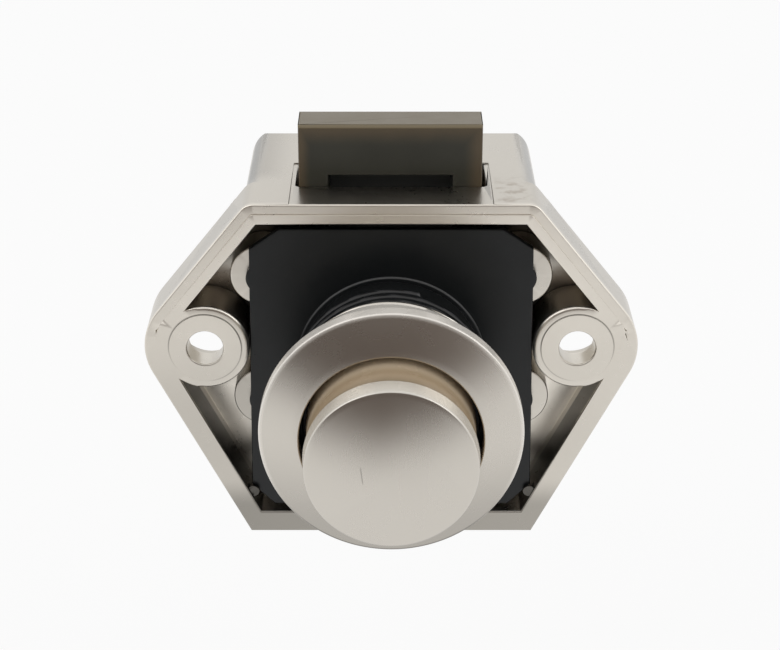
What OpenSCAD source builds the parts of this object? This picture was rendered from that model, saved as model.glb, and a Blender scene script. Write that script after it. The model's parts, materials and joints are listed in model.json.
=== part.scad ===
// Pushbutton cabinet lock for a wooden door with a round hole.
// The rim of the flange bears on the inside of the door. The collar comes through the hole, and the
// rosette is screwed onto it from outside. Pressing the button drives a wedge behind a pin in the
// bolt, which draws the bolt down. Millimetres. The origin is where the axis of the button meets the
// plane of the rim. X runs along the flange, Y from the door into the cabinet, Z along the bolt.

/* [Flange] */
// Distance between the two mounting holes
ear_pitch = 46; // [42:0.5:50]
// Height of the mounting holes above the axis of the button
ear_z = 2.66; // [1:0.1:4]
// Radius of the round ends of the flange
ear_r = 7.5; // [7:0.1:8.5]
// Radius of the mounting holes
ear_hole_r = 2.25; // [1.75:0.05:2.5]
// Radius of the boss round each mounting hole
ear_boss_r = 5.5; // [5:0.1:6]
// Radius of the low raised seat round each mounting hole
seat_r = 4.5; // [4.2:0.1:4.8]
// Height of the raised seats in front of the rim
seat_h = 0.12; // [0.05:0.01:0.25]
// Thickness left in each ear in front of the screw head
ear_web = 3.2; // [2:0.1:4]
// Radius of the counterbore for the screw head
ear_head_r = 4.2; // [3.8:0.1:4.6]
// Height of the top face above the axis of the button
top_z = 21.5; // [20:0.25:24]
// Height of the bottom face below the axis of the button
bottom_z = 23.5; // [23.5:0.25:26]
// Lean of the two upper sides, as the angle of their normals
upper_lean = 38.7; // [36:0.1:41]
// Lean of the two lower sides, as the angle of their normals
lower_lean = 27.1; // [26:0.1:28]
// Depth of the flange from front to back
flange_d = 8.2; // [8:0.1:9.5]
// Width of the rim at the top and on the slanted sides
rim_w = 2.55; // [2.2:0.05:2.8]
// Width of the rim at the bottom
rim_bottom_w = 2.9; // [2.4:0.1:3]
// Depth of the recess inside the rim
recess_d = 7; // [6.5:0.1:7.2]
// Rounding of the two upper corners of the flange
top_corner_r = 2; // [1:0.1:3]
// Depth of the rebate along the outer edge of the rim, at the top
rebate_d = 0.2; // [0.1:0.05:0.3]
// Width of the rebate along the outer edge of the rim
rebate_w = 1.25; // [0.8:0.05:1.5]
// Height above the mounting holes at which the rebate has run out
rebate_end = 1; // [0.5:0.5:5]
// Radius of the cast tabs that lie over the lower corners of the plate
tab_r = 0.75; // [0.6:0.05:0.9]
// Thickness of the cast tabs
tab_t = 0.55; // [0.4:0.05:0.6]
// Distance of the middle of each tab inside the slanted wall
tab_inset = 0.42; // [0.2:0.02:0.5]
// Distance of each tab down the slanted wall, from its point nearest to the middle
tab_drop = 7.8; // [7:0.1:9]

/* [Case] */
// Half width of the case behind the flange
case_half_w = 18.2; // [17:0.1:19]
// Depth of the lock behind the plane of the rim
case_d = 27.3; // [25:0.1:30]
// Rounding of the two rear upright edges of the case
case_edge_r = 3.5; // [2:0.1:4.5]
// Rounding of the rear top and bottom edges of the case
case_lip_r = 1.2; // [0.6:0.1:1.6]
// Rounding of the two upper edges of the case that run from front to back
case_top_r = 2.4; // [0.8:0.1:2.6]
// Radius of the hollow fillet between the sides of the case and the back of the flange
case_fillet_r = 1.6; // [0.6:0.1:2.2]
// Thickness of the rear wall of the case
rear_wall = 1.7; // [1.4:0.1:2.2]
// Thickness of the bottom wall of the case
floor_wall = 2.2; // [1.8:0.1:3]
// Half width of the well behind the bolt
well_half_w = 8; // [6:0.1:8.5]
// Wall left above the well
well_roof = 2; // [1:0.1:3]
// Height of the step between the floor and the well
well_step = 1; // [0.6:0.1:2]
// Width of the mark that the mould's slide leaves round the bolt opening
slide_mark_w = 24.6; // [24.2:0.1:26]
// Depth of the mark that the mould's slide leaves
slide_mark_d = 0.15; // [0.1:0.05:0.3]

/* [Cover plate] */
// Half width of the cover plate at its bottom edge
plate_half_w = 17.85; // [17.2:0.05:17.9]
// Width by which each side of the plate draws in towards its top edge
plate_draw = 0.6; // [0:0.1:0.8]
// Height of the top edge of the cover plate
plate_top = 18; // [17.6:0.1:18.4]
// Depth of the bottom edge of the cover plate below the axis
plate_bottom = 20; // [19.5:0.1:20.3]
// Distance of the plate's front face behind the plane of the rim
plate_y = 0.9; // [0.8:0.05:1.2]
// Thickness of the cover plate
plate_t = 1.2; // [1:0.1:1.6]
// Length of the clipped upper corners, along the top edge
clip_top_x = 3.7; // [3.4:0.1:4]
// Length of the clipped upper corners, down the side
clip_top_z = 2.6; // [2.4:0.1:3]
// Length of the clipped lower corners, both ways
clip_bottom = 2.9; // [2.7:0.1:3.2]
// Distance of the posts from the middle
post_x = 15.8; // [15.4:0.1:16]
// Height of the upper posts above the axis
post_top_z = 11.5; // [11:0.1:12]
// Depth of the lower posts below the axis
post_low_z = 5.1; // [4.5:0.1:5.3]
// Radius of the posts that carry the plate
post_r = 4; // [3.5:0.1:4.2]
// Radius of the pads on the plate over the posts
pad_r = 2; // [1.9:0.05:2.4]
// Radius of the pins on the back of the plate
plate_pin_r = 1.6; // [1.2:0.05:1.8]
// Length of the pins on the back of the plate
plate_pin_l = 4.4; // [3:0.1:6]
// Width of the two rails on the back of the plate that guide the bolt
rail_w = 2.2; // [1.6:0.1:2.4]
// Length by which the two rails reach below the foot of the bolt
rail_reach = 6; // [3:0.5:8]

/* [Collar] */
// Radius of the collar over its thread
collar_r = 11.95; // [11.7:0.05:12.2]
// Radius of the collar beside the thread
collar_root_r = 11.2; // [11.1:0.05:11.4]
// Inner radius of the collar
collar_bore_r = 10.45; // [10.3:0.05:10.6]
// Distance of the collar's end in front of the rim
collar_l = 14.2; // [13:0.1:15]
// Distance of the first thread in front of the plate
thread_start = 2.7; // [2:0.1:3.5]

/* [Rosette] */
// Outer radius of the rosette
rosette_r = 15.42; // [14.8:0.05:17]
// Radius of the hole in the rosette
rosette_hole_r = 10.66; // [10.5:0.02:10.9]
// Distance of the rosette's back face in front of the rim, which is the thickness of the door
door_t = 16; // [14.5:0.1:19]
// Thickness of the rosette's edge
rosette_edge = 2; // [1.6:0.1:3]
// Height by which the hole's edge stands in front of the outer edge
rosette_rise = 1.66; // [1:0.02:2.2]
// Outer radius of the rosette's sleeve
sleeve_r = 12.67; // [12.5:0.01:12.95]
// Length of the rosette's sleeve
sleeve_l = 7.6; // [6:0.1:9]
// Thickness of the rosette's front wall at the hole
rosette_wall = 2.4; // [1.8:0.1:2.6]

/* [Button] */
// Radius of the button's head
button_r = 10.07; // [9.9:0.01:10.2]
// Thickness of the button's head at its edge
button_head = 2.5; // [2:0.1:3.2]
// Height of the domed face above its edge
button_dome = 1.4; // [0.8:0.1:1.8]
// Radius of the neck behind the head
button_neck_r = 9.6; // [9.3:0.05:9.8]
// Distance of the edge of the domed face in front of the rim
button_y = 26.4; // [25.5:0.1:29]
// Distance that the button is pressed
travel = 7.7; // [6.5:0.1:7.8]
// Thickness of the button's front wall at its edge
button_wall = 2.6; // [2:0.1:3]

/* [Plunger] */
// Outer radius of the plunger's nose inside the button
nose_r = 8.2; // [7.8:0.05:8.4]
// Length of the plunger's skirt behind its shoulder
skirt_l = 8.1; // [7:0.1:8.4]
// Wall of the plunger's skirt
skirt_wall = 1.4; // [1:0.1:1.6]
// Thickness of the wall that the spring bears on
seat_wall = 1.8; // [1.4:0.1:2.4]
// Radius of the snap ring's wire
snap_wire_r = 0.45; // [0.35:0.05:0.5]
// Thickness of the release wedge
wedge_t = 5; // [4:0.1:6]
// Half height of the wedge's bar
wedge_bar = 4; // [3:0.1:4.4]
// Depth of the wedge's heel below the axis of the button
wedge_heel = 8.7; // [8:0.1:9]
// Radius of the pin that holds the wedge in the plunger
wedge_pin_r = 1; // [0.8:0.05:1.3]

/* [Bolt] */
// Width of the bolt
bolt_w = 22.5; // [21:0.1:22.8]
// Distance by which the bolt rests off the middle, inside its side play
bolt_rest = 0.1; // [0:0.01:0.12]
// Distance of the bolt's front face behind the plane of the rim
bolt_y = 7; // [7:0.1:7.4]
// Thickness of the bolt
bolt_t = 7.6; // [7.2:0.1:8]
// Thickness of the bolt at its tip
bolt_tip_t = 5.4; // [4.6:0.1:6.4]
// Height by which the bolt stands out of the case
bolt_out = 7.7; // [7:0.1:9]
// Half width of the pocket in the bolt's front face
bolt_pocket_half_w = 7.65; // [7.2:0.05:7.9]
// Height of the pocket's upper edge above the top face at rest
bolt_pocket_rise = 1.2; // [0.6:0.1:2]
// Thickness of the bolt behind its pocket
bolt_web = 2.2; // [1.8:0.1:3]
// Width by which the foot of the bolt stands out on each side
bolt_shoulder = 1.1; // [0.8:0.1:1.3]
// Depth of the pockets for the springs in the foot of the bolt
spring_pocket = 5.5; // [4:0.5:6]
// Radius of the pin in the bolt that the wedge bears on
bolt_pin_r = 1.25; // [1:0.05:1.5]

/* [Springs] */
// Radius of the plunger spring over its wire
plunger_spring_r = 8.6; // [8.2:0.05:8.8]
// Radius of the plunger spring's wire
plunger_wire_r = 0.45; // [0.3:0.05:0.5]
// Turns of the plunger spring
plunger_turns = 6; // [4:1:7]
// Radius of the two bolt springs over their wire
bolt_spring_r = 1.6; // [1.4:0.05:1.65]
// Radius of the bolt springs' wire
bolt_wire_r = 0.2; // [0.15:0.01:0.25]
// Turns of each bolt spring
bolt_turns = 9; // [6:1:11]
// Radius of the pins inside the bolt springs
spring_pin_r = 0.95; // [0.8:0.05:1]

/* [Fits] */
// Radial clearance of parts that turn or slide round one another
run_fit = 0.07; // [0.03:0.01:0.1]
// Clearance of the rosette's bore round the collar
thread_fit = 0.1; // [0.04:0.01:0.1]
// Radial clearance of pins in their holes
pin_fit = 0.03; // [0.02:0.01:0.06]
// Clearance between flat faces that slide
slide_fit = 0.15; // [0.1:0.05:0.2]
// Clearance of the bolt in the opening of the top face
opening_gap = 0.35; // [0.3:0.05:0.8]
// Gap of the bolt's stop, and of other parts at their rest
stop_gap = 0.2; // [0.1:0.05:0.3]

/* [Hidden] */
$fn = 96;
eps = 0.01;
over = 1;

// Each straight side of an outline is the angle of its outward normal and its distance from the origin
ear = [ear_pitch / 2, ear_z];
function unit(a) = [cos(a), sin(a)];
function side_past(a, centre, r) = [a, centre * unit(a) + r];
top_side = [90, top_z];
upper_side = side_past(upper_lean, ear, ear_r);
lower_side = side_past(-lower_lean, ear, ear_r);
bottom_side = [-90, bottom_z];
function mirrored(side) = [180 - side[0], side[1]];
flange_sides = [
    lower_side, upper_side, top_side, mirrored(upper_side), mirrored(lower_side), [270, bottom_z]
];
flange_corners = [ear_r, top_corner_r, top_corner_r, ear_r, 0, 0];

// Places that follow from the sizes above
post_y = plate_y + plate_t;
plate_back = plate_y + plate_t;
bolt_back = bolt_y + bolt_t;
bolt_half_w = bolt_w / 2;
foot_half_w = bolt_half_w + bolt_shoulder;
channel_back = bolt_back + slide_fit;
opening_front = bolt_y - slide_fit;
bolt_tip_z = top_z + bolt_out;
bolt_pin_y = bolt_y + 0.55 * bolt_t;
shoulder_z = 5.5;
foot_z = -9.5;
floor_z = foot_z - travel - stop_gap;
case_bottom = floor_z - floor_wall;
well_back = case_d - rear_wall;
spring_bore_r = bolt_spring_r + slide_fit;
spring_x = (bolt_pocket_half_w + foot_half_w) / 2;
spring_y = bolt_y + bolt_t / 2;
spring_top_z = foot_z + spring_pocket;

// The wedge's sloping edge lies on the line where z is y less this much
heel_y = plate_back + stop_gap;
slope_c = heel_y + wedge_heel;
bolt_pin_z = bolt_pin_y - slope_c - (bolt_pin_r + pin_fit) * sqrt(2);
wedge_top = wedge_bar;
wedge_tip_y = slope_c + wedge_top - 0.8;
window_low = foot_z + 4;
window_top = wedge_top + travel + stop_gap + 0.6;
rosette_front = door_t + rosette_edge;
rosette_lip = rosette_front + rosette_rise;

// The plunger's shoulder carries the rear end of the button
shoulder_y = 15.3;
skirt_end = shoulder_y - skirt_l;
seat_y = shoulder_y - seat_wall;
button_front = button_y - button_wall;
nose_end = button_front - 2 * stop_gap;
snap_y = nose_end - 1.2;
wedge_pin_y = shoulder_y + 2.7;
button_bore_r = nose_r + run_fit;
skirt_r = collar_bore_r - run_fit;

// Crossing of two sides, and the outline that joins the sides with round corners
function meet(s, t) = let (k = sin(t[0] - s[0]))
    [(s[1] * sin(t[0]) - t[1] * sin(s[0])) / k, (t[1] * cos(s[0]) - s[1] * cos(t[0])) / k];
function moved_in(side, w) = [side[0], side[1] - w];
module outline(sides, radii) {
    n = len(sides);
    next = [for (i = [0:n - 1]) sides[(i + 1) % n]];
    centres = [for (i = [0:n - 1]) meet(moved_in(sides[i], radii[i]), moved_in(next[i], radii[i]))];
    polygon([for (i = [0:n - 1]) for (side = radii[i] > 0 ? [sides[i], next[i]] : [sides[i]])
        centres[i] + radii[i] * unit(side[0])]);
    for (i = [0:n - 1])
        if (radii[i] > 0) translate(centres[i]) circle(r = radii[i]);
}

// A flat outline in X and Z, made solid from one depth to another
module slab(y0, y1) {
    translate([0, y1, 0]) rotate([90, 0, 0]) linear_extrude(y1 - y0) children();
}
// A round bar or bore along Y
module bar_y(x, z, r, y0, y1) {
    translate([x, y1, z]) rotate([90, 0, 0]) cylinder(r = r, h = y1 - y0);
}
// A round bar or bore along X, from one side to the other
module bar_x(y, z, r, half) {
    translate([-half, y, z]) rotate([0, 90, 0]) cylinder(r = r, h = 2 * half);
}
// A block given by its two opposite corners
module block(low, high) {
    translate(low) cube(high - low);
}
// A turned shape about the axis of the button, from radius and distance in front of the rim
module turned(points) {
    rotate([90, 0, 0]) rotate_extrude() polygon(points);
}
module both_sides() {
    children();
    mirror([1, 0, 0]) children();
}
module at_posts() {
    both_sides() for (z = [post_top_z, -post_low_z]) translate([post_x, 0, z]) children();
}

// A coil spring from z0 to z1 about Z, its wire swept along a helix with closed ends
wire_sides = 8;
function coil_height(t, turns, h, wire) =
    let (flat = 1, lift = 2 * wire * 1.05)
    t < flat ? wire + lift * t
    : t > turns - flat ? h - wire - lift * (turns - t)
    : wire + lift + (h - 2 * wire - 2 * lift) * (t - flat) / (turns - 2 * flat);
module coil(r, wire, turns, h, steps) {
    n = turns * steps;
    mean = r - wire;
    rings = [for (i = [0:n]) let (t = i / steps, a = 360 * t, z = coil_height(t, turns, h, wire))
        for (k = [0:wire_sides - 1]) let (b = 360 * k / wire_sides, reach = mean + wire * cos(b))
            [reach * cos(a), reach * sin(a), z + wire * sin(b)]];
    walls = [for (i = [0:n - 1]) for (k = [0:wire_sides - 1])
        let (a = i * wire_sides + k, b = i * wire_sides + (k + 1) % wire_sides)
            [a, b, b + wire_sides, a + wire_sides]];
    ends = [[for (k = [wire_sides - 1:-1:0]) k], [for (k = [0:wire_sides - 1]) n * wire_sides + k]];
    polyhedron(rings, concat(walls, ends), convexity = 10);
}

// Cast housing: flange, recess, posts, corner tabs and the case for the bolt
module flange_recess() {
    sides = [for (s = flange_sides) moved_in(s, s[0] == 270 ? rim_bottom_w : rim_w)];
    outline(sides, [ear_r - rim_w, 0, 0, ear_r - rim_w, 0, 0]);
}
module case_block() {
    low = -case_bottom;
    intersection() {
        slab(0, case_d) outline([[0, case_half_w], [90, top_z], [180, case_half_w], [270, low]],
            [case_top_r, case_top_r, 0, 0]);
        translate([0, 0, case_bottom]) linear_extrude(top_z - case_bottom)
            outline([[0, case_half_w], [90, case_d], [180, case_half_w], [270, -recess_d]],
                [case_edge_r, case_edge_r, 0, 0]);
        rotate([90, 0, 90]) translate([0, 0, -case_half_w]) linear_extrude(2 * case_half_w)
            outline([[0, case_d], [90, top_z], [180, -recess_d], [270, low]],
                [case_lip_r, 0, 0, case_lip_r]);
    }
}
module case_fillets() {
    reach = case_fillet_r + eps;
    intersection() {
        slab(flange_d - eps, case_d) outline(flange_sides, flange_corners);
        both_sides() translate([case_half_w - eps, flange_d - eps, case_bottom + case_lip_r])
            linear_extrude(top_z - case_top_r - case_bottom - case_lip_r) difference() {
                square([reach, reach]);
                translate([reach, reach]) circle(r = case_fillet_r, $fn = 48);
            }
    }
}
tab = (lower_side[1] - rim_w - tab_inset) * unit(-lower_lean) - tab_drop * unit(90 - lower_lean);
module housing_solid() {
    difference() {
        union() {
            slab(0, flange_d) outline(flange_sides, flange_corners);
            case_block();
            case_fillets();
            both_sides() bar_y(ear[0], ear[1], seat_r, -seat_h, eps);
        }
        difference() {
            slab(-over, recess_d) flange_recess();
            both_sides() bar_y(ear[0], ear[1], ear_boss_r, -2 * over, recess_d + over);
            at_posts() bar_y(0, 0, post_r, post_y, recess_d + over);
            both_sides() bar_y(tab[0], tab[1], tab_r, plate_y - 0.1 - tab_t, plate_y - 0.1);
        }
    }
}
module bolt_channel() {
    narrow = bolt_half_w + slide_fit;
    wide = foot_half_w + slide_fit;
    opening = bolt_half_w + opening_gap;
    step_z = shoulder_z + stop_gap;
    block([-narrow, recess_d - eps, floor_z], [narrow, channel_back, top_z - rim_w]);
    block([-wide, recess_d - eps, floor_z], [wide, channel_back, step_z]);
    block([-well_half_w, recess_d, floor_z + well_step],
        [well_half_w, well_back, top_z - rim_w - well_roof]);
    block([-opening, opening_front, top_z - rim_w - over], [opening, channel_back, top_z + over]);
}
module housing() {
    color("#c9c5ba") difference() {
        housing_solid();
        bolt_channel();
        block([-slide_mark_w / 2, 0.35, top_z - slide_mark_d],
            [slide_mark_w / 2, channel_back + 0.2, top_z + over]);
        intersection() {
            slab(-over, rebate_d) difference() {
                outline(flange_sides, flange_corners);
                outline([for (s = flange_sides) moved_in(s, rebate_w)],
                    [for (r = flange_corners) max(r - rebate_w, 0)]);
            }
            rotate([90, 0, 90]) translate([0, 0, -ear_pitch]) linear_extrude(2 * ear_pitch) polygon([
                [-over, ear_z + rebate_end], [0, ear_z + rebate_end], [rebate_d, top_z],
                [rebate_d, top_z + over], [-over, top_z + over]
            ]);
        }
        both_sides() {
            bar_y(ear[0], ear[1], ear_hole_r, -over, flange_d + over);
            bar_y(ear[0], ear[1], ear_head_r, ear_web, flange_d + over);
            translate([spring_x, spring_y, case_bottom - over])
                cylinder(r = spring_pin_r + pin_fit, h = floor_wall + 2 * over);
        }
        at_posts() bar_y(0, 0, plate_pin_r + pin_fit, post_y - over, post_y + plate_pin_l + 0.4);
    }
}

// Cover plate with its threaded collar, the pins that fix it and the rails that guide the bolt
module plate_outline() {
    side_h = plate_top + plate_bottom;
    top_w = plate_half_w - plate_draw;
    right = [
        [plate_half_w - clip_bottom, -plate_bottom],
        [plate_half_w - plate_draw * clip_bottom / side_h, -plate_bottom + clip_bottom],
        [top_w + plate_draw * clip_top_z / side_h, plate_top - clip_top_z],
        [top_w - clip_top_x, plate_top]
    ];
    polygon(concat(right, [for (i = [3:-1:0]) [-right[i][0], right[i][1]]]));
    for (s = [-1, 1]) for (z = [post_top_z, -post_low_z]) translate([s * post_x, z]) circle(r = pad_r);
}
module cover_plate() {
    slot_half = wedge_t / 2 + slide_fit;
    slot_low = wedge_heel - 2.5;
    rail_x = bolt_pocket_half_w + 0.5;
    color("#202224") difference() {
        union() {
            slab(plate_y, plate_back) plate_outline();
            turned([
                [collar_bore_r, -plate_y - eps], [collar_root_r, -plate_y - eps],
                [collar_root_r, thread_start - plate_y - 0.5], [collar_r, thread_start - plate_y],
                [collar_r, collar_l - 0.6], [collar_r - 0.6, collar_l], [collar_bore_r, collar_l]
            ]);
            at_posts() bar_y(0, 0, plate_pin_r, plate_back - eps, plate_back + plate_pin_l);
            both_sides() block([rail_x, plate_back - eps, foot_z - rail_reach],
                [rail_x + rail_w, bolt_y - slide_fit, top_z - rim_w - well_roof]);
        }
        block([-slot_half, 0, -slot_low], [slot_half, plate_back + over, wedge_bar + slide_fit]);
    }
}

// Rosette with its threaded sleeve, which stands in the hole of the door
module rosette() {
    bore_r = collar_r + thread_fit;
    sleeve_end = door_t - sleeve_l;
    color("#cfcbc2") turned([
        [bore_r, sleeve_end], [sleeve_r - 0.2, sleeve_end], [sleeve_r, sleeve_end + 0.2],
        [sleeve_r, door_t], [rosette_r - 0.2, door_t], [rosette_r, door_t + 0.2],
        [rosette_r, rosette_front - 0.15], [rosette_r - 0.2, rosette_front + 0.05],
        [rosette_hole_r + 0.25, rosette_lip], [rosette_hole_r, rosette_lip - 0.2],
        [rosette_hole_r, rosette_lip - rosette_wall], [bore_r, rosette_lip - rosette_wall]
    ]);
}

// Button cap, a turned shell over the plunger's nose
module button_cap() {
    dome_r = (pow(button_r, 2) + pow(button_dome, 2)) / (2 * button_dome);
    head_back = button_y - button_head;
    color("#cbc7be") difference() {
        union() {
            turned([[0, shoulder_y + stop_gap], [button_neck_r, shoulder_y + stop_gap],
                [button_neck_r, head_back + eps], [0, head_back + eps]]);
            intersection() {
                turned([[0, head_back], [button_r, head_back], [button_r, button_y + button_dome],
                    [0, button_y + button_dome]]);
                translate([0, dome_r - button_y - button_dome, 0]) sphere(r = dome_r, $fn = 180);
            }
        }
        bar_y(0, 0, button_bore_r, -button_front, -shoulder_y + over);
        turned([for (a = [0:30:359]) [button_bore_r, snap_y] + (snap_wire_r + pin_fit) * unit(a)]);
    }
}

// Open wire ring that snaps the cap onto the plunger's nose
snap_mean_r = nose_r;
module cap_snap_ring() {
    color("#9a9c9e") rotate([90, 0, 0]) translate([0, 0, snap_y])
        rotate_extrude(angle = 320) translate([snap_mean_r, 0]) circle(r = snap_wire_r, $fn = 24);
}

// Moulded plunger: skirt in the collar, seat for the spring, and nose inside the cap
module plunger() {
    slot_half = wedge_t / 2 + pin_fit;
    color("#1d1e20") difference() {
        turned([
            [0, seat_y], [skirt_r - skirt_wall, seat_y], [skirt_r - skirt_wall, skirt_end],
            [skirt_r, skirt_end], [skirt_r, shoulder_y], [nose_r, shoulder_y],
            [nose_r, nose_end], [0, nose_end]
        ]);
        block([-slot_half, -nose_end + 1.6, -wedge_bar - pin_fit], [slot_half, -seat_y + over,
            wedge_bar + pin_fit]);
        bar_x(-wedge_pin_y, 0, wedge_pin_r + pin_fit, nose_r + over);
        turned([for (a = [0:30:359]) [nose_r, snap_y] + (snap_wire_r + pin_fit) * unit(a)]);
    }
}

// Flat metal wedge that draws the bolt down, with a bar that reaches into the plunger
module release_wedge() {
    bar_end = -nose_end + 2;
    color("#8f9193") difference() {
        rotate([90, 0, 90]) translate([0, 0, -wedge_t / 2]) linear_extrude(wedge_t) polygon([
            [bar_end, -wedge_bar], [heel_y, -wedge_bar], [heel_y, -wedge_heel],
            [wedge_tip_y, wedge_tip_y - slope_c], [wedge_tip_y, wedge_top], [bar_end, wedge_top]
        ]);
        bar_x(-wedge_pin_y, 0, wedge_pin_r + pin_fit, wedge_t);
    }
}
module wedge_pin() {
    color("#a7a9ab") bar_x(-wedge_pin_y, 0, wedge_pin_r, nose_r - stop_gap);
}
module plunger_spring() {
    web_y = -plate_y;
    color("#b0b2b4") translate([0, -web_y - 0.1, 0]) rotate([90, 0, 0])
        coil(plunger_spring_r, plunger_wire_r, plunger_turns, seat_y - web_y - 0.2, 30);
}

// Moulded bolt: bevelled tip, pocket in its front face, window for the wedge and a wider foot
module latch_bolt() {
    bevel_z = top_z + 0.2 * bolt_out;
    pocket_top = top_z + bolt_pocket_rise;
    web_y = bolt_back - bolt_web;
    color("#4a463e") translate([-bolt_rest, 0, 0]) difference() {
        union() {
            rotate([90, 0, 90]) translate([0, 0, -bolt_half_w]) linear_extrude(bolt_w) polygon([
                [bolt_y, foot_z], [bolt_back, foot_z], [bolt_back, bevel_z],
                [bolt_y + bolt_tip_t, bolt_tip_z], [bolt_y + 0.3, bolt_tip_z], [bolt_y, bolt_tip_z - 0.3]
            ]);
            block([-foot_half_w, bolt_y, foot_z], [foot_half_w, bolt_back, shoulder_z]);
        }
        block([-bolt_pocket_half_w, bolt_y - over, window_low],
            [bolt_pocket_half_w, bolt_back + over, window_top]);
        block([-bolt_pocket_half_w, bolt_y - over, window_top - eps],
            [bolt_pocket_half_w, web_y, pocket_top]);
        bar_x(bolt_pin_y, bolt_pin_z, bolt_pin_r + pin_fit, foot_half_w + over);
        both_sides() translate([spring_x, spring_y, foot_z - over])
            cylinder(r = spring_bore_r, h = spring_top_z - foot_z + over);
    }
}
module bolt_pin() {
    color("#a7a9ab") translate([-bolt_rest, 0, 0])
        bar_x(bolt_pin_y, bolt_pin_z, bolt_pin_r, foot_half_w - stop_gap);
}
module bolt_spring() {
    color("#b0b2b4") translate([spring_x, spring_y, floor_z + 0.1])
        coil(bolt_spring_r, bolt_wire_r, bolt_turns, spring_top_z - floor_z - 0.2, 16);
}
module spring_pin() {
    pin_top = spring_top_z - travel - stop_gap;
    color("#9a9c9e") translate([spring_x, spring_y, case_bottom + stop_gap])
        cylinder(r = spring_pin_r, h = pin_top - case_bottom - stop_gap);
}

housing();
cover_plate();
rosette();
button_cap();
cap_snap_ring();
plunger();
release_wedge();
wedge_pin();
plunger_spring();
latch_bolt();
bolt_pin();
mirror([1, 0, 0]) bolt_spring();  // bolt_spring_left
bolt_spring();  // bolt_spring_right
mirror([1, 0, 0]) spring_pin();  // spring_pin_left
spring_pin();  // spring_pin_right
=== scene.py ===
"""Looks of a pushbutton cabinet lock: satin nickel casting, black collar plate, turned rosette and button.

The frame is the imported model's: +X along the flange, +Z along the way the bolt stands out, -Y out of
the door. Sizes in the classes are millimetres, and become metres where a mesh is made.
"""
import json
import logging
import math
from dataclasses import dataclass
from enum import Enum
from typing import Any, Callable, Iterable, Sequence, Union

import bmesh
import bpy
import numpy as np
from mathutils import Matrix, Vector

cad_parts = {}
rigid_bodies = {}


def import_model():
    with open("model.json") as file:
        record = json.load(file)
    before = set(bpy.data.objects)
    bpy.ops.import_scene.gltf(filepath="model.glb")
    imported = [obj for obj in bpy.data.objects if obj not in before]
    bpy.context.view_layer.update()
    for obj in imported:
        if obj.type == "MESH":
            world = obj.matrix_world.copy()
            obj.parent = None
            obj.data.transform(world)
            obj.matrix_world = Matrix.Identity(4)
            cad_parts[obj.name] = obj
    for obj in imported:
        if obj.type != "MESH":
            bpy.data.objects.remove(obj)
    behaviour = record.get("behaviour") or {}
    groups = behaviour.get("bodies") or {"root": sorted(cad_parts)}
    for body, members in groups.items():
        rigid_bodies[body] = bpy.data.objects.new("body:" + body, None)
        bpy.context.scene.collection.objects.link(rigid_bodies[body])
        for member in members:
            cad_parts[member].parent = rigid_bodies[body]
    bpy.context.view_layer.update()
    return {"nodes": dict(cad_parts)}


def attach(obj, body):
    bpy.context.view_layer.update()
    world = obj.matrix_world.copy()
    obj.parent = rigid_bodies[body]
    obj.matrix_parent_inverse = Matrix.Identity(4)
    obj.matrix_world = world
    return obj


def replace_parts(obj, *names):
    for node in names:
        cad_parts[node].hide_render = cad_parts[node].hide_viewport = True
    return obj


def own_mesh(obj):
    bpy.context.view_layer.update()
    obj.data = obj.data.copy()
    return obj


MM = 0.001
LOG = logging.getLogger("cabinet_lock")
Colour = tuple[float, float, float]
Point = tuple[float, float, float]
WHITE = (1.0, 1.0, 1.0, 1.0)


def linked(name: str, data: bpy.types.ID) -> bpy.types.Object:
    """Makes an object of a mesh, lamp or camera and puts it into the scene.

    Args:
        name: the object's name.
        data: what it shows.

    Returns:
        The object.
    """
    made = bpy.data.objects.new(name, data)
    bpy.context.scene.collection.objects.link(made)
    return made


def rgba(colour: Colour) -> tuple[float, float, float, float]:
    """The colour as Blender's sockets take it, opaque."""
    return (*colour, 1.0)


def scaled(colour: Colour, factor: float) -> Colour:
    """The colour made lighter or darker by a factor."""
    return tuple(channel * factor for channel in colour)


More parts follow.
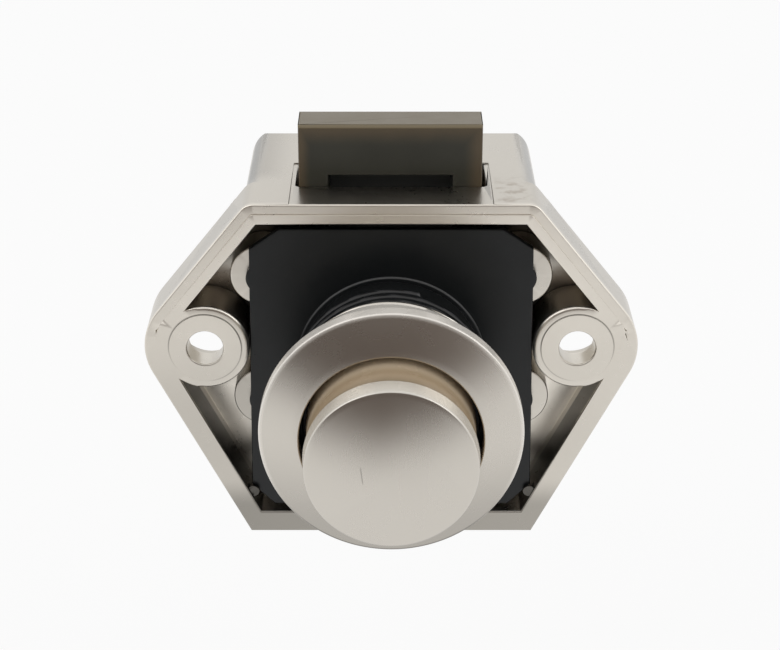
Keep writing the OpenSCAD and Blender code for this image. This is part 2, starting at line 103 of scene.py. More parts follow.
class Value:
    """One number of a material, on which Python's operators add Math nodes."""

    def __init__(self, nodes: "Nodes", socket: bpy.types.NodeSocket) -> None:
        """Keeps the socket and the node tree that it belongs to.

        Args:
            nodes: the node tree.
            socket: an output socket that carries one number.
        """
        self.nodes = nodes
        self.socket = socket

    def maths(self, operation: str, first: "Number", second: "Number" = 0.0) -> "Value":
        """Adds one Math node.

        Args:
            operation: Blender's name of the operation.
            first: its first operand.
            second: its second operand.

        Returns:
            The node's result.
        """
        made = self.nodes.node("ShaderNodeMath", {"operation": operation}, {0: first, 1: second})
        return Value(self.nodes, made.outputs[0])

    def __add__(self, other: "Number") -> "Value":
        """Sum."""
        return self.maths("ADD", self, other)

    def __radd__(self, other: "Number") -> "Value":
        """Sum with the number first."""
        return self.maths("ADD", other, self)

    def __sub__(self, other: "Number") -> "Value":
        """Difference."""
        return self.maths("SUBTRACT", self, other)

    def __rsub__(self, other: "Number") -> "Value":
        """Difference with the number first."""
        return self.maths("SUBTRACT", other, self)

    def __mul__(self, other: "Number") -> "Value":
        """Product."""
        return self.maths("MULTIPLY", self, other)

    def __rmul__(self, other: "Number") -> "Value":
        """Product with the number first."""
        return self.maths("MULTIPLY", other, self)

    def __pow__(self, other: "Number") -> "Value":
        """Power."""
        return self.maths("POWER", self, other)

    def size(self) -> "Value":
        """The number without its sign."""
        return self.maths("ABSOLUTE", self)

    def across(self, other: "Value") -> "Value":
        """Length of the pair, as of the two sides at a right angle."""
        return (self * self + other * other) ** 0.5

    def angle_from(self, other: "Value") -> "Value":
        """Angle of the pair (other, self), in radians."""
        return self.maths("ARCTAN2", self, other)

    def highest(self, other: "Number") -> "Value":
        """The greater of two."""
        return self.maths("MAXIMUM", self, other)

    def step(self, low: float, high: float) -> "Value":
        """Smooth step from 0 at low to 1 at high.

        Args:
            low: value at which the result is 0.
            high: value at which the result is 1. It may be less than low, for a falling step.

        Returns:
            The step.
        """
        made = self.nodes.node(
            "ShaderNodeMapRange",
            {"interpolation_type": "SMOOTHSTEP"},
            {"Value": self, "From Min": low, "From Max": high, "To Min": 0.0, "To Max": 1.0},
        )
        return Value(self.nodes, made.outputs["Result"])

    def spread(self, low: float, high: float) -> "Value":
        """Maps 0 to 1 onto low to high."""
        return self * (high - low) + low


Number = Union[Value, float]


class Nodes:
    """Node tree of a material or of the world."""

    def __init__(self, tree: bpy.types.NodeTree) -> None:
        """Keeps the tree."""
        self.tree = tree

    def node(self, kind: str, settings: dict[str, Any] | None = None,
             inputs: dict[Any, Any] | None = None) -> bpy.types.Node:
        """Adds a node of any type.

        Args:
            kind: Blender's name of the node's type.
            settings: its settings, set first.
            inputs: values or links of its sockets, by name or number.

        Returns:
            The node.
        """
        made = self.tree.nodes.new(kind)
        for name, value in (settings or {}).items():
            setattr(made, name, value)
        for name, value in (inputs or {}).items():
            self.feed(made.inputs[name], value)
        return made

    def feed(self, socket: bpy.types.NodeSocket, value: Any) -> None:
        """Links a socket or sets its value.

        Args:
            socket: the input socket.
            value: a Value, an output socket, or what the socket holds.
        """
        if isinstance(value, Value):
            value = value.socket
        if isinstance(value, bpy.types.NodeSocket):
            self.tree.links.new(value, socket)
        else:
            socket.default_value = value

    def seen(self) -> Value:
        """One for rays from the camera, from gloss and through glass, else nought.

        Returns:
            The mask.
        """
        path = self.node("ShaderNodeLightPath")
        total = Value(self, path.outputs["Is Camera Ray"])
        for name in ("Is Glossy Ray", "Is Transmission Ray"):
            total = total.highest(Value(self, path.outputs[name]))
        return total

    def blend(self, factor: Value, first: bpy.types.NodeSocket, second: bpy.types.NodeSocket
              ) -> bpy.types.NodeSocket:
        """Mixes two shaders.

        Args:
            factor: share of the second.
            first: a shader's output.
            second: a shader's output.

        Returns:
            The mixed shader's output.
        """
        return self.node("ShaderNodeMixShader", None, {0: factor, 1: first, 2: second}).outputs[0]

    def show(self, shader: bpy.types.NodeSocket, output: str = "Material Output") -> None:
        """Links a shader to the tree's output."""
        self.feed(self.tree.nodes[output].inputs["Surface"], shader)


class Shader(Nodes):
    """Node tree of one material around a Principled shader."""

    def __init__(self, name: str) -> None:
        """Makes the material.

        Args:
            name: the material's name.
        """
        self.material = bpy.data.materials.new(name)
        self.material.use_nodes = True
        super().__init__(self.material.node_tree)
        self.principled = self.tree.nodes["Principled BSDF"]
        coordinates = self.node("ShaderNodeTexCoord")
        self.place = coordinates.outputs["Object"]

    def millimetres(self) -> tuple[Value, Value, Value]:
        """The place on the piece at rest, as three numbers in millimetres."""
        return tuple(part * (1 / MM) for part in self.parts(self.place))

    def parts(self, vector: bpy.types.NodeSocket) -> tuple[Value, Value, Value]:
        """The three numbers of a vector."""
        split = self.node("ShaderNodeSeparateXYZ", None, {0: vector})
        return tuple(Value(self, split.outputs[axis]) for axis in range(3))

    def vector(self, x: Number, y: Number, z: Number) -> bpy.types.NodeSocket:
        """Three numbers as one vector."""
        return self.node("ShaderNodeCombineXYZ", None, {0: x, 1: y, 2: z}).outputs[0]

    def noise(self, size: float, stretch: Point = (1.0, 1.0, 1.0), detail: float = 2.0,
              seed: float = 0.0, roughness: float = 0.5,
              source: bpy.types.NodeSocket | None = None, unit: float = MM) -> Value:
        """Soft noise over the piece.

        Args:
            size: size of its patches, in millimetres.
            stretch: how much longer the patches are along each axis.
            detail: number of finer layers.
            seed: moves the pattern, so that two noises differ.
            roughness: share of the finer layers.
            source: the vector that it runs over, or None for the place on the piece.
            unit: length of one unit of the size, in units of the vector.

        Returns:
            A number of about 0.5.
        """
        scale = tuple(1 / (size * unit * s) for s in stretch)
        placed = self.node("ShaderNodeMapping", None, {
            "Vector": source or self.place, "Location": (seed, seed * 1.7, seed * 0.6), "Scale": scale})
        made = self.node("ShaderNodeTexNoise", None, {
            "Vector": placed.outputs[0], "Scale": 1.0, "Detail": detail, "Roughness": roughness})
        return Value(self, made.outputs[0])

    def mix(self, factor: Number, first: Any, second: Any) -> bpy.types.NodeSocket:
        """Mixes two colours.

        Args:
            factor: share of the second.
            first: a colour or a colour socket.
            second: a colour or a colour socket.

        Returns:
            The mixed colour.
        """
        first, second = (rgba(c) if isinstance(c, tuple) else c for c in (first, second))
        made = self.node("ShaderNodeMix", {"data_type": "RGBA"}, {0: factor, 6: first, 7: second})
        return made.outputs[2]

    def times(self, colour: bpy.types.NodeSocket, factor: Number) -> bpy.types.NodeSocket:
        """A colour times a number."""
        made = self.node("ShaderNodeVectorMath", {"operation": "SCALE"}, {0: colour, "Scale": factor})
        return made.outputs[0]

    def facing(self) -> tuple[Value, Value, Value]:
        """The direction that the surface faces, as three numbers from -1 to 1."""
        return self.parts(self.node("ShaderNodeNewGeometry").outputs["Normal"])

    def bump(self, height: Number, depth: float, under: bpy.types.NodeSocket | None = None
             ) -> bpy.types.NodeSocket:
        """Relief that changes the normal.

        Args:
            height: a number from 0 to 1.
            depth: height of the relief in millimetres.
            under: a coarser relief below this one.

        Returns:
            The normal.
        """
        inputs: dict[str, Any] = {"Strength": 1.0, "Distance": depth * MM, "Height": height}
        if under is not None:
            inputs["Normal"] = under
        return self.node("ShaderNodeBump", None, inputs).outputs[0]

    def finish(self, fixed: dict[str, float], **varying: Any) -> bpy.types.Material:
        """Feeds the Principled shader.

        Args:
            fixed: numbers that are the same all over, by socket name.
            varying: Base_Color, Metallic, Roughness and Normal.

        Returns:
            The material.
        """
        for name, value in fixed.items():
            self.principled.inputs[name].default_value = value
        for name, value in varying.items():
            self.feed(self.principled.inputs[name.replace("_", " ")], value)
        return self.material


@dataclass(frozen=True)
class Finish:
    """What every finish of the lock has: a name, a colour and a roughness."""

    name: str
    colour: Colour
    roughness: float

    def varied(self, shader: Shader, tone: Value, dark: float, light: float) -> bpy.types.NodeSocket:
        """The colour, drifting between two factors.

        Args:
            shader: the material's shader.
            tone: a number of about 0.5 that drifts over the piece.
            dark: factor on the colour where the tone is 0.
            light: factor on the colour where the tone is 1.

        Returns:
            The colour.
        """
        return shader.mix(tone, scaled(self.colour, dark), scaled(self.colour, light))

    def make(self) -> bpy.types.Material:
        """Makes the material."""
        raise NotImplementedError


@dataclass(frozen=True)
class CastNickel(Finish):
    """Zinc casting, tumbled and plated in satin nickel: fine grain, a few stains, painted light and shade.

    Each step in its masks runs between two places in millimetres. Shades are shares of the colour that
    a mask of painted shade takes away, and gains shares that a mask of painted light adds.
    """

    drift: float = 0.06
    grain: float = 0.22
    grain_depth: float = 0.0015
    swell_depth: float = 0.010
    stain: Colour = (0.34, 0.27, 0.21)
    # Greyer colour painted as shade on the case's faces that look sideways and up.
    side_painted_shade: Colour = (0.40, 0.405, 0.40)
    lower_lean: float = 27.1
    upper_lean: float = 38.7
    lower_wall: float = 24.213
    upper_wall: float = 24.56
    recess_top: float = 19.2
    recess_back: float = 7.2
    floor_y: float = 6.5
    ear_x: float = 23.0
    ear_z: float = 2.66
    seat_r: float = 4.5
    tab_x: float = 17.63
    tab_z: float = -17.78
    tab_r: float = 1.0
    case_y: float = 8.0
    # Shares of painted shade and painted light on the plating.
    seat_shade: float = 0.5
    wall_shade: float = 0.82
    wall_low_shade: float = 0.25
    band_shade: float = 0.66
    top_shade: float = 0.45
    tab_shade: float = 0.78
    left_shade: float = 0.16
    rear_shade: float = 0.17
    corner_shade: float = 0.22
    upper_gain: float = 0.10
    lit_gain: float = 0.38
    rim_gain: float = 0.42
    rim_low_shade: float = 0.40

    def stains(self, shader: Shader) -> Value:
        """Soft brown smudges on the top face beside the bolt.

        Args:
            shader: the material's shader.

        Returns:
            Mask of the smudges.
        """
        x, y, z = shader.millimetres()
        region = x.step(12.4, 13.2) * x.step(17.8, 15.5) * z.step(20.9, 21.3)
        region = region * y.step(0.6, 1.8) * y.step(11.5, 6.5)
        smudges = shader.noise(1.5, (1.3, 1.0, 1.0), 4.0, 3.1, 0.55).step(0.46, 0.68)
        return region * smudges

    def recess(self, x: Value, y: Value, z: Value) -> tuple[Value, Value]:
        """Finds the recess, whose side walls lean by two angles.

        Args:
            x: place along the flange in millimetres.
            y: place behind the rim.
            z: place along the bolt.

        Returns:
            Mask of the recess, and mask of its lower walls near the rim.
        """
        low, high = math.radians(self.lower_lean), math.radians(self.upper_lean)
        across_low = x.size() * math.cos(low) - z * math.sin(low)
        across_high = x.size() * math.cos(high) + z * math.sin(high)
        inside = across_low.step(self.lower_wall + 0.6, self.lower_wall + 0.3)
        inside = inside * across_high.step(self.upper_wall + 0.6, self.upper_wall + 0.3)
        inside = inside * z.step(self.recess_top + 0.4, self.recess_top)
        inside = inside * y.step(0.25, 0.5) * y.step(self.recess_back + 0.2, self.recess_back)
        wall = inside * across_low.step(self.lower_wall - 0.16, self.lower_wall - 0.08) * y.step(5.5, 5.0)
        return inside, wall

    def shade_recess(self, lift: Value, x: Value, y: Value, z: Value) -> Value:
        """Lays bands of light and shade over the recess's floor and walls.

        Args:
            lift: the factor on the colour before that.
            x: place along the flange in millimetres.
            y: place behind the rim.
            z: place along the bolt.

        Returns:
            The new factor, unchanged outside the recess.
        """
        inside, wall = self.recess(x, y, z)
        floor = inside * y.step(self.floor_y, self.floor_y + 0.4)
        sides = inside * (1.0 - floor)
        band = floor * (z.step(1.0, 3.0) * z.step(9.6, 7.8)).highest(z.step(10.5, 12.5))
        top = floor * z.step(11.5, 13.5)
        lit = floor * x.step(-4.0, 4.0).spread(0.8, 1.0) * z.step(-2.0, -4.0) * z.step(-15.0, -11.0)
        left = sides * x.step(-2.0, -6.0) * z.step(-1.0, -3.0)
        lift = lift + lit * self.lit_gain + sides * z.step(1.0, 3.0) * self.upper_gain
        lift = lift * (1.0 - band * self.band_shade) * (1.0 - top * self.top_shade)
        falloff = z.step(-18.0, -4.0).spread(self.wall_low_shade, self.wall_shade)
        return lift * (1.0 - left * self.left_shade) * (1.0 - wall * falloff)

    def tone(self, shader: Shader) -> Value:
        """Painted light and shade over the plating: full on the rim, duller behind it and in the recess.

        Args:
            shader: the material's shader.

        Returns:
            Factor of painted light and shade on the colour.
        """
        x, y, z = shader.millimetres()
        _, _, up = shader.facing()
        inside, _ = self.recess(x, y, z)
        # Painted shade on the corner tabs.
        tab = (x.size() - self.tab_x).across(z - self.tab_z).step(self.tab_r, self.tab_r - 0.15)
        tab = tab * y.step(0.08, 0.2) * y.step(2.0, 1.6)
        # Painted shade on the rear's faces that look up, and more on its left corner.
        rear = up.step(0.3, 0.65) * y.step(0.4, 1.2) * (1.0 - inside)
        corner = rear * x.step(-12.0, -17.0) * y.step(self.case_y, self.case_y + 4.0)
        # Painted light rising up the rim, painted shade at its lower end; below the ears, lighter to the
        # right.
        rim = z.step(-12.0, 20.0) * self.rim_gain - z.step(-15.5, -20.0) * self.rim_low_shade
        lift = 1.0 + y.step(0.4, 0.25) * rim + x * z.step(4.0, -6.0) * 0.003
        lift = self.shade_recess(lift, x, y, z)
        lift = lift * (1.0 - self.seat_line(x, y, z) * self.seat_shade) * (1.0 - tab * self.tab_shade)
        return lift * (1.0 - rear * self.rear_shade) * (1.0 - corner * self.corner_shade)

    def seat_line(self, x: Value, y: Value, z: Value) -> Value:
        """Painted shade line round the seats of the ear screws, strongest along the top.

        Args:
            x: place along the flange in millimetres.
            y: place behind the rim.
            z: place along the bolt.

        Returns:
            Mask of the painted shade line.
        """
        out, rise = x.size() - self.ear_x, z - self.ear_z
        from_ear = out.across(rise)
        line = from_ear.step(self.seat_r - 0.10, self.seat_r)
        line = line * from_ear.step(self.seat_r + 0.16, self.seat_r + 0.06)
        return line * y.step(0.6, 0.3) * rise.step(-3.5, 1.5).highest(out.step(0.5, -2.5) * 0.6)

    def make(self) -> bpy.types.Material:
        """Makes the material.

        Returns:
            The material, which dresses every piece of its slot.
        """
        shader = Shader(self.name)
        patches = shader.noise(7.0, detail=3.0, seed=0.4)
        mottle = shader.noise(0.7, detail=4.0, seed=1.9, roughness=0.6)
        grain = shader.noise(self.grain, detail=3.0, seed=5.2, roughness=0.6)
        tone = patches * 0.6 + mottle * 0.4
        colour = self.varied(shader, tone, 1 - self.drift, 1 + self.drift)
        spots = self.stains(shader)
        colour = shader.mix(spots * 0.45, colour, self.stain)
        # Painted shade on faces that look sideways and up, behind the flange, then painted light and shade.
        aside, _, up = shader.facing()
        side = aside.size().step(0.15, 0.7) * up.step(0.15, 0.5) * shader.millimetres()[1].step(7.6, 9.4)
        colour = shader.times(shader.mix(side * 0.7, colour, self.side_painted_shade), self.tone(shader))
        pits = shader.noise(0.55, detail=1.0, seed=8.0).step(0.70, 0.76)
        rough = mottle.spread(-0.07, 0.07) + patches.spread(-0.04, 0.04) + self.roughness + spots * 0.15
        swell = shader.bump(shader.noise(2.4, detail=1.0, seed=2.0), self.swell_depth)
        relief = shader.bump(grain - pits * 0.5, self.grain_depth, swell)
        return shader.finish({"Metallic": 1.0}, Base_Color=colour, Roughness=rough, Normal=relief)


@dataclass(frozen=True)
class TurnedNickel(Finish):
    """Satin nickel over a turned surface: fine rings about the button's axis; painted light and shade."""

    ring_pitch: float = 0.11
    ring_depth: float = 0.00003
    drift: float = 0.008
    # Paler colour painted as light on the upper side of the sleeve and of the flange's rear and rim.
    sleeve: Colour = (0.84, 0.80, 0.74)
    sleeve_r: float = 12.3
    sleeve_end: float = -8.4
    disc_front: float = -18.05
    outer_r: float = 15.42

    def rings(self, shader: Shader) -> Value:
        """Noise drawn out along circles about the axis.

        Args:
            shader: the material's shader.

        Returns:
            Height of the rings.
        """
        x, y, z = shader.millimetres()
        radius = x.across(z)
        turn = z.angle_from(x)
        along = shader.vector(radius, y, turn * 0.6)
        return shader.noise(self.ring_pitch, (1.0, 1.0, 9.0), 3.0, 0.7, 0.6, along, 1.0)

    def make(self) -> bpy.types.Material:
        """Makes the material.

        Returns:
            The material, which dresses every piece of its slot.
        """
        shader = Shader(self.name)
        rings = self.rings(shader)
        cloud = shader.noise(5.0, detail=3.0, seed=4.4)
        tone = rings * 0.45 + cloud * 0.55
        colour = self.varied(shader, tone, 1 - self.drift, 1 + self.drift)
        x, y, z = shader.millimetres()
        # Painted shade towards the bottom, painted light to the right on the upper part.
        lift = 1.0 - z.step(1.0, -13.0) * 0.27 + x * z.step(2.0, 12.0) * 0.011
        colour = shader.times(colour, lift)
        radius = x.across(z)
        # Painted shade under the flange's outer edge, at the bottom.
        under = radius.step(self.outer_r - 0.35, self.outer_r - 0.1) * z.step(-8.0, -13.5)
        colour = shader.times(colour, 1.0 - under * 0.55)
        # Painted light: a paler, less metallic colour on the upper side of the sleeve and the flange.
        sleeve_painted_light = radius.step(self.sleeve_r, self.sleeve_r + 0.2) * z.step(-9.0, -3.0)
        sleeve_painted_light = sleeve_painted_light * y.step(self.sleeve_end - 0.2, self.sleeve_end - 0.9)
        sleeve_painted_light = sleeve_painted_light * y.step(self.disc_front - 0.15, self.disc_front + 0.1)
        colour = shader.mix(sleeve_painted_light, colour, self.sleeve)
        grain = shader.noise(0.09, detail=2.0, seed=6.1)
        relief = shader.bump(rings, self.ring_depth, shader.bump(grain, self.ring_depth * 1.5))
        rough = rings.spread(-0.006, 0.006) + cloud.spread(-0.03, 0.03) + self.roughness
        metal = 1.0 - sleeve_painted_light * 0.6
        return shader.finish({}, Base_Color=colour, Metallic=metal, Roughness=rough, Normal=relief)


@dataclass(frozen=True)
class BrushedNickel(TurnedNickel):
    """The button's finish: domed face brushed upright, side turned, neck warm brown in painted light and
    shade.
    """

    face_from: float = -25.6
    streak: float = 0.14
    streak_depth: float = 0.00003
    # Neck colours, a warm brown graded from painted shade by the head to painted light by the ring's hole.
    neck_colour: Colour = (0.27, 0.20, 0.12)
    neck_middle: Colour = (0.42, 0.315, 0.20)
    neck_deep: Colour = (0.70, 0.57, 0.41)
    neck_metal: float = 0.05
    head_r: float = 10.07
    scratch_x: float = -3.3
    scratch_top: float = 1.3
    head_back: float = -23.9

    def make(self) -> bpy.types.Material:
        """Makes the material.

        Returns:
            The material, which dresses every piece of its slot.
        """
        shader = Shader(self.name)
        x, y, z = shader.millimetres()
        face = y.step(self.face_from, self.face_from - 0.5)
        neck = y.step(self.head_back + 0.05, self.head_back + 0.3)
        streaks = shader.noise(self.streak, (1.0, 1.0, 34.0), 4.0, 2.3, 0.65)
        lines = shader.noise(0.32, (1.0, 1.0, 40.0), 1.0, 9.1)
        rings = self.rings(shader)
        cloud = shader.noise(6.0, (0.6, 1.0, 1.6), 3.0, 4.4)
        grain_face = streaks * 0.7 + lines * 0.3
        grain = grain_face * face + rings * (1.0 - face)
        tone = grain * 0.5 + cloud * 0.5
        colour = self.varied(shader, tone, 1 - self.drift, 1 + self.drift)
        # The neck, painted darker by the head and lighter towards the ring's hole: painted shade and light.
        inward = y - self.head_back
        behind = shader.mix(inward.step(0.3, 2.2), self.neck_colour, self.neck_middle)
        behind = shader.mix(inward.step(2.6, 4.8), behind, self.neck_deep)
        colour = shader.mix(neck, colour, behind)
        metal = 1.0 - neck * (1.0 - self.neck_metal)
        relief = shader.bump(grain, self.streak_depth)
        bent = (x - self.scratch_x + z * 0.12 + cloud * 0.1 - 0.05).size()
        scratch = face * bent.step(0.10, 0.03) * (z - self.scratch_top).step(0.0, -0.6)
        scratch = scratch * (z + self.scratch_top).step(0.0, 0.6)
        # Painted shade under the head's edge, at the bottom.
        under = x.across(z).step(self.head_r - 0.45, self.head_r - 0.2) * z.step(-5.5, -9.0)
        colour = shader.times(colour, (1.0 - scratch * 0.35) * (1.0 - under * 0.45))
        rough = grain.spread(-0.010, 0.010) + cloud.spread(-0.03, 0.03) + self.roughness
        return shader.finish({}, Base_Color=colour, Metallic=metal, Roughness=rough, Normal=relief)


@dataclass(frozen=True)
class Moulding(Finish):
    """Plastic moulding with a faint orange peel, a little dust, rubbed patches and a painted highlight ring.
    """

    specular: float = 0.35
    peel: float = 0.9
    peel_depth: float = 0.006
    dust: Colour = (0.10, 0.10, 0.10)
    dust_share: float = 0.05
    # Radius and colour of a painted highlight along the upper part of a ring, such as the collar's step.
    highlight_r: float = 0.0
    highlight_colour: Colour = (0.13, 0.13, 0.13)

    def base(self, shader: Shader) -> Any:
        """The colour before dust.

        Args:
            shader: the material's shader.

        Returns:
            A colour or a colour socket.
        """
        tone = shader.noise(5.0, detail=3.0, seed=1.2)
        return self.varied(shader, tone, 0.85, 1.15)

    def make(self) -> bpy.types.Material:
        """Makes the material.

        Returns:
            The material, which dresses every piece of its slot.
        """
        shader = Shader(self.name)
        rubbed = shader.noise(3.2, detail=5.0, seed=2.7, roughness=0.6)
        fine = shader.noise(0.16, detail=2.0, seed=5.5)
        specks = shader.noise(0.28, detail=1.0, seed=7.3).step(0.71, 0.78)
        colour = shader.mix(specks * self.dust_share, self.base(shader), self.dust)
        x, _, z = shader.millimetres()
        # Painted highlight: a pale line round the upper part of the ring at that radius.
        outward = x.across(z) - self.highlight_r
        line = outward.step(-0.25, -0.1) * outward.step(0.1, 0.0)
        colour = shader.mix(line * z.step(2.0, 9.0) * 0.6, colour, self.highlight_colour)
        peel = shader.bump(shader.noise(self.peel, detail=1.0, seed=3.3), self.peel_depth)
        relief = shader.bump(fine, self.peel_depth * 0.3, peel)
        rough = rubbed.spread(-0.08, 0.08) + fine.spread(-0.04, 0.04) + self.roughness
        fixed = {"Metallic": 0.0, "Specular IOR Level": self.specular}
        return shader.finish(fixed, Base_Color=colour, Roughness=rough, Normal=relief)


@dataclass(frozen=True)
class BoltMoulding(Moulding):
    """The bolt's smooth moulding, browner and lighter where light is painted along its edges, tip and
    pocket.
    """

    # Colours of painted light: along the edges, on the tip, on the tip's front edge and in the pocket.
    edge: Colour = (0.090, 0.066, 0.038)
    tip_painted_light: Colour = (0.15, 0.122, 0.076)
    rim_painted_highlight: Colour = (0.21, 0.17, 0.105)
    pocket_painted_light: Colour = (0.10, 0.10, 0.092)
    pocket_half_w: float = 7.65
    face: float = 7.0
    half_width: float = 11.25
    tip: float = 29.2
    glow: float = 1.5

    def base(self, shader: Shader) -> Any:
        """The colour, with painted light in a soft band along the upper and side edges, and on the tip and
        pocket.

        Args:
            shader: the material's shader.

        Returns:
            A colour socket.
        """
        x, y, z = shader.millimetres()
        drift = shader.noise(3.0, detail=2.0, seed=1.5).spread(-0.35, 0.35)
        side = (drift - x).step(self.half_width - self.glow, self.half_width)
        side = side.highest((x + drift).step(self.half_width - 1.7 * self.glow, self.half_width - 0.2))
        upper = (z + drift).step(self.tip - 1.9 * self.glow, self.tip)
        body = super().base(shader)
        # Painted light in the pocket behind the front face.
        pocket = x.size().step(self.pocket_half_w + 0.1, self.pocket_half_w) * z.step(24.0, 23.5)
        pocket = pocket * y.step(self.face + 0.2, self.face + 0.6)
        body = shader.mix(pocket, body, self.pocket_painted_light)
        # Painted light in soft bands along the upper and side edges.
        body = shader.mix(side.highest(upper), body, self.edge)
        # Painted light on the tip and a painted highlight along its front edge.
        body = shader.mix(z.step(self.tip - 0.25, self.tip - 0.1), body, self.tip_painted_light)
        rim = z.step(self.tip - 0.5, self.tip - 0.3) * y.step(self.face + 0.5, self.face + 0.25)
        return shader.mix(rim * 0.8, body, self.rim_painted_highlight)


@dataclass(frozen=True)
class DrawnSteel(Finish):
    """Plain drawn or stamped steel with lines along one axis and small dark pits."""

    stretch: Point = (12.0, 1.0, 1.0)
    line: float = 0.12
    depth: float = 0.003

    def make(self) -> bpy.types.Material:
        """Makes the material.

        Returns:
            The material, which dresses every piece of its slot.
        """
        shader = Shader(self.name)
        lines = shader.noise(self.line, self.stretch, 3.0, 0.9, 0.6)
        cloud = shader.noise(1.8, detail=3.0, seed=6.6)
        pits = shader.noise(0.25, detail=1.0, seed=3.9).step(0.70, 0.78)
        tone = lines * 0.5 + cloud * 0.5
        colour = self.varied(shader, tone, 0.88, 1.1)
        colour = shader.mix(pits * 0.5, colour, scaled(self.colour, 0.45))
        rough = lines.spread(-0.08, 0.08) + cloud.spread(-0.05, 0.05) + self.roughness
        relief = shader.bump(lines - pits * 0.5, self.depth)
        return shader.finish({"Metallic": 1.0}, Base_Color=colour, Roughness=rough, Normal=relief)


class Slot(Enum):
    """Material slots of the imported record."""

    HOUSING = "zinc_nickel"
    ROSETTE = "rosette_nickel"
    BUTTON = "button_nickel"
    PLATE = "black_plastic"
    PLUNGER = "plunger_plastic"
    BOLT = "bolt_plastic"
    STEEL = "inner_steel"
    SPRING = "spring_steel"


class Paints:
    """The lock's materials, each made once."""

    FINISHES: dict[Slot, Finish] = {
        Slot.HOUSING: CastNickel("satin_nickel_casting", (0.62, 0.585, 0.525), 0.30),
        Slot.ROSETTE: TurnedNickel("satin_nickel_turned", (0.62, 0.585, 0.53), 0.27),
        Slot.BUTTON: BrushedNickel("satin_nickel_brushed", (0.63, 0.595, 0.54), 0.27),
        # The plate's painted highlight runs along the collar's step.
        Slot.PLATE: Moulding("black_half_gloss_moulding", (0.008, 0.009, 0.0095), 0.32, specular=0.36,
                             highlight_r=11.8),
        Slot.PLUNGER: Moulding("black_matt_moulding", (0.012, 0.012, 0.012), 0.5),
        Slot.BOLT: BoltMoulding("grey_brown_moulding", (0.034, 0.033, 0.024), 0.36, specular=0.4,
                                dust_share=0.02),
        Slot.STEEL: DrawnSteel("plain_steel", (0.50, 0.50, 0.50), 0.32),
        Slot.SPRING: DrawnSteel("bright_spring_wire", (0.56, 0.56, 0.57), 0.24, (1.0, 1.0, 1.0), 0.2),
    }

    def __init__(self) -> None:
        """Makes every material."""
        self.made = {slot: finish.make() for slot, finish in self.FINISHES.items()}

    def dress(self, piece: bpy.types.Object, slot: Slot) -> None:
        """Gives a piece its only material, the one made for its slot.

        Args:
            piece: the piece.
            slot: the record's slot.
        """
        piece.data.materials.clear()
        piece.data.materials.append(self.made[slot])


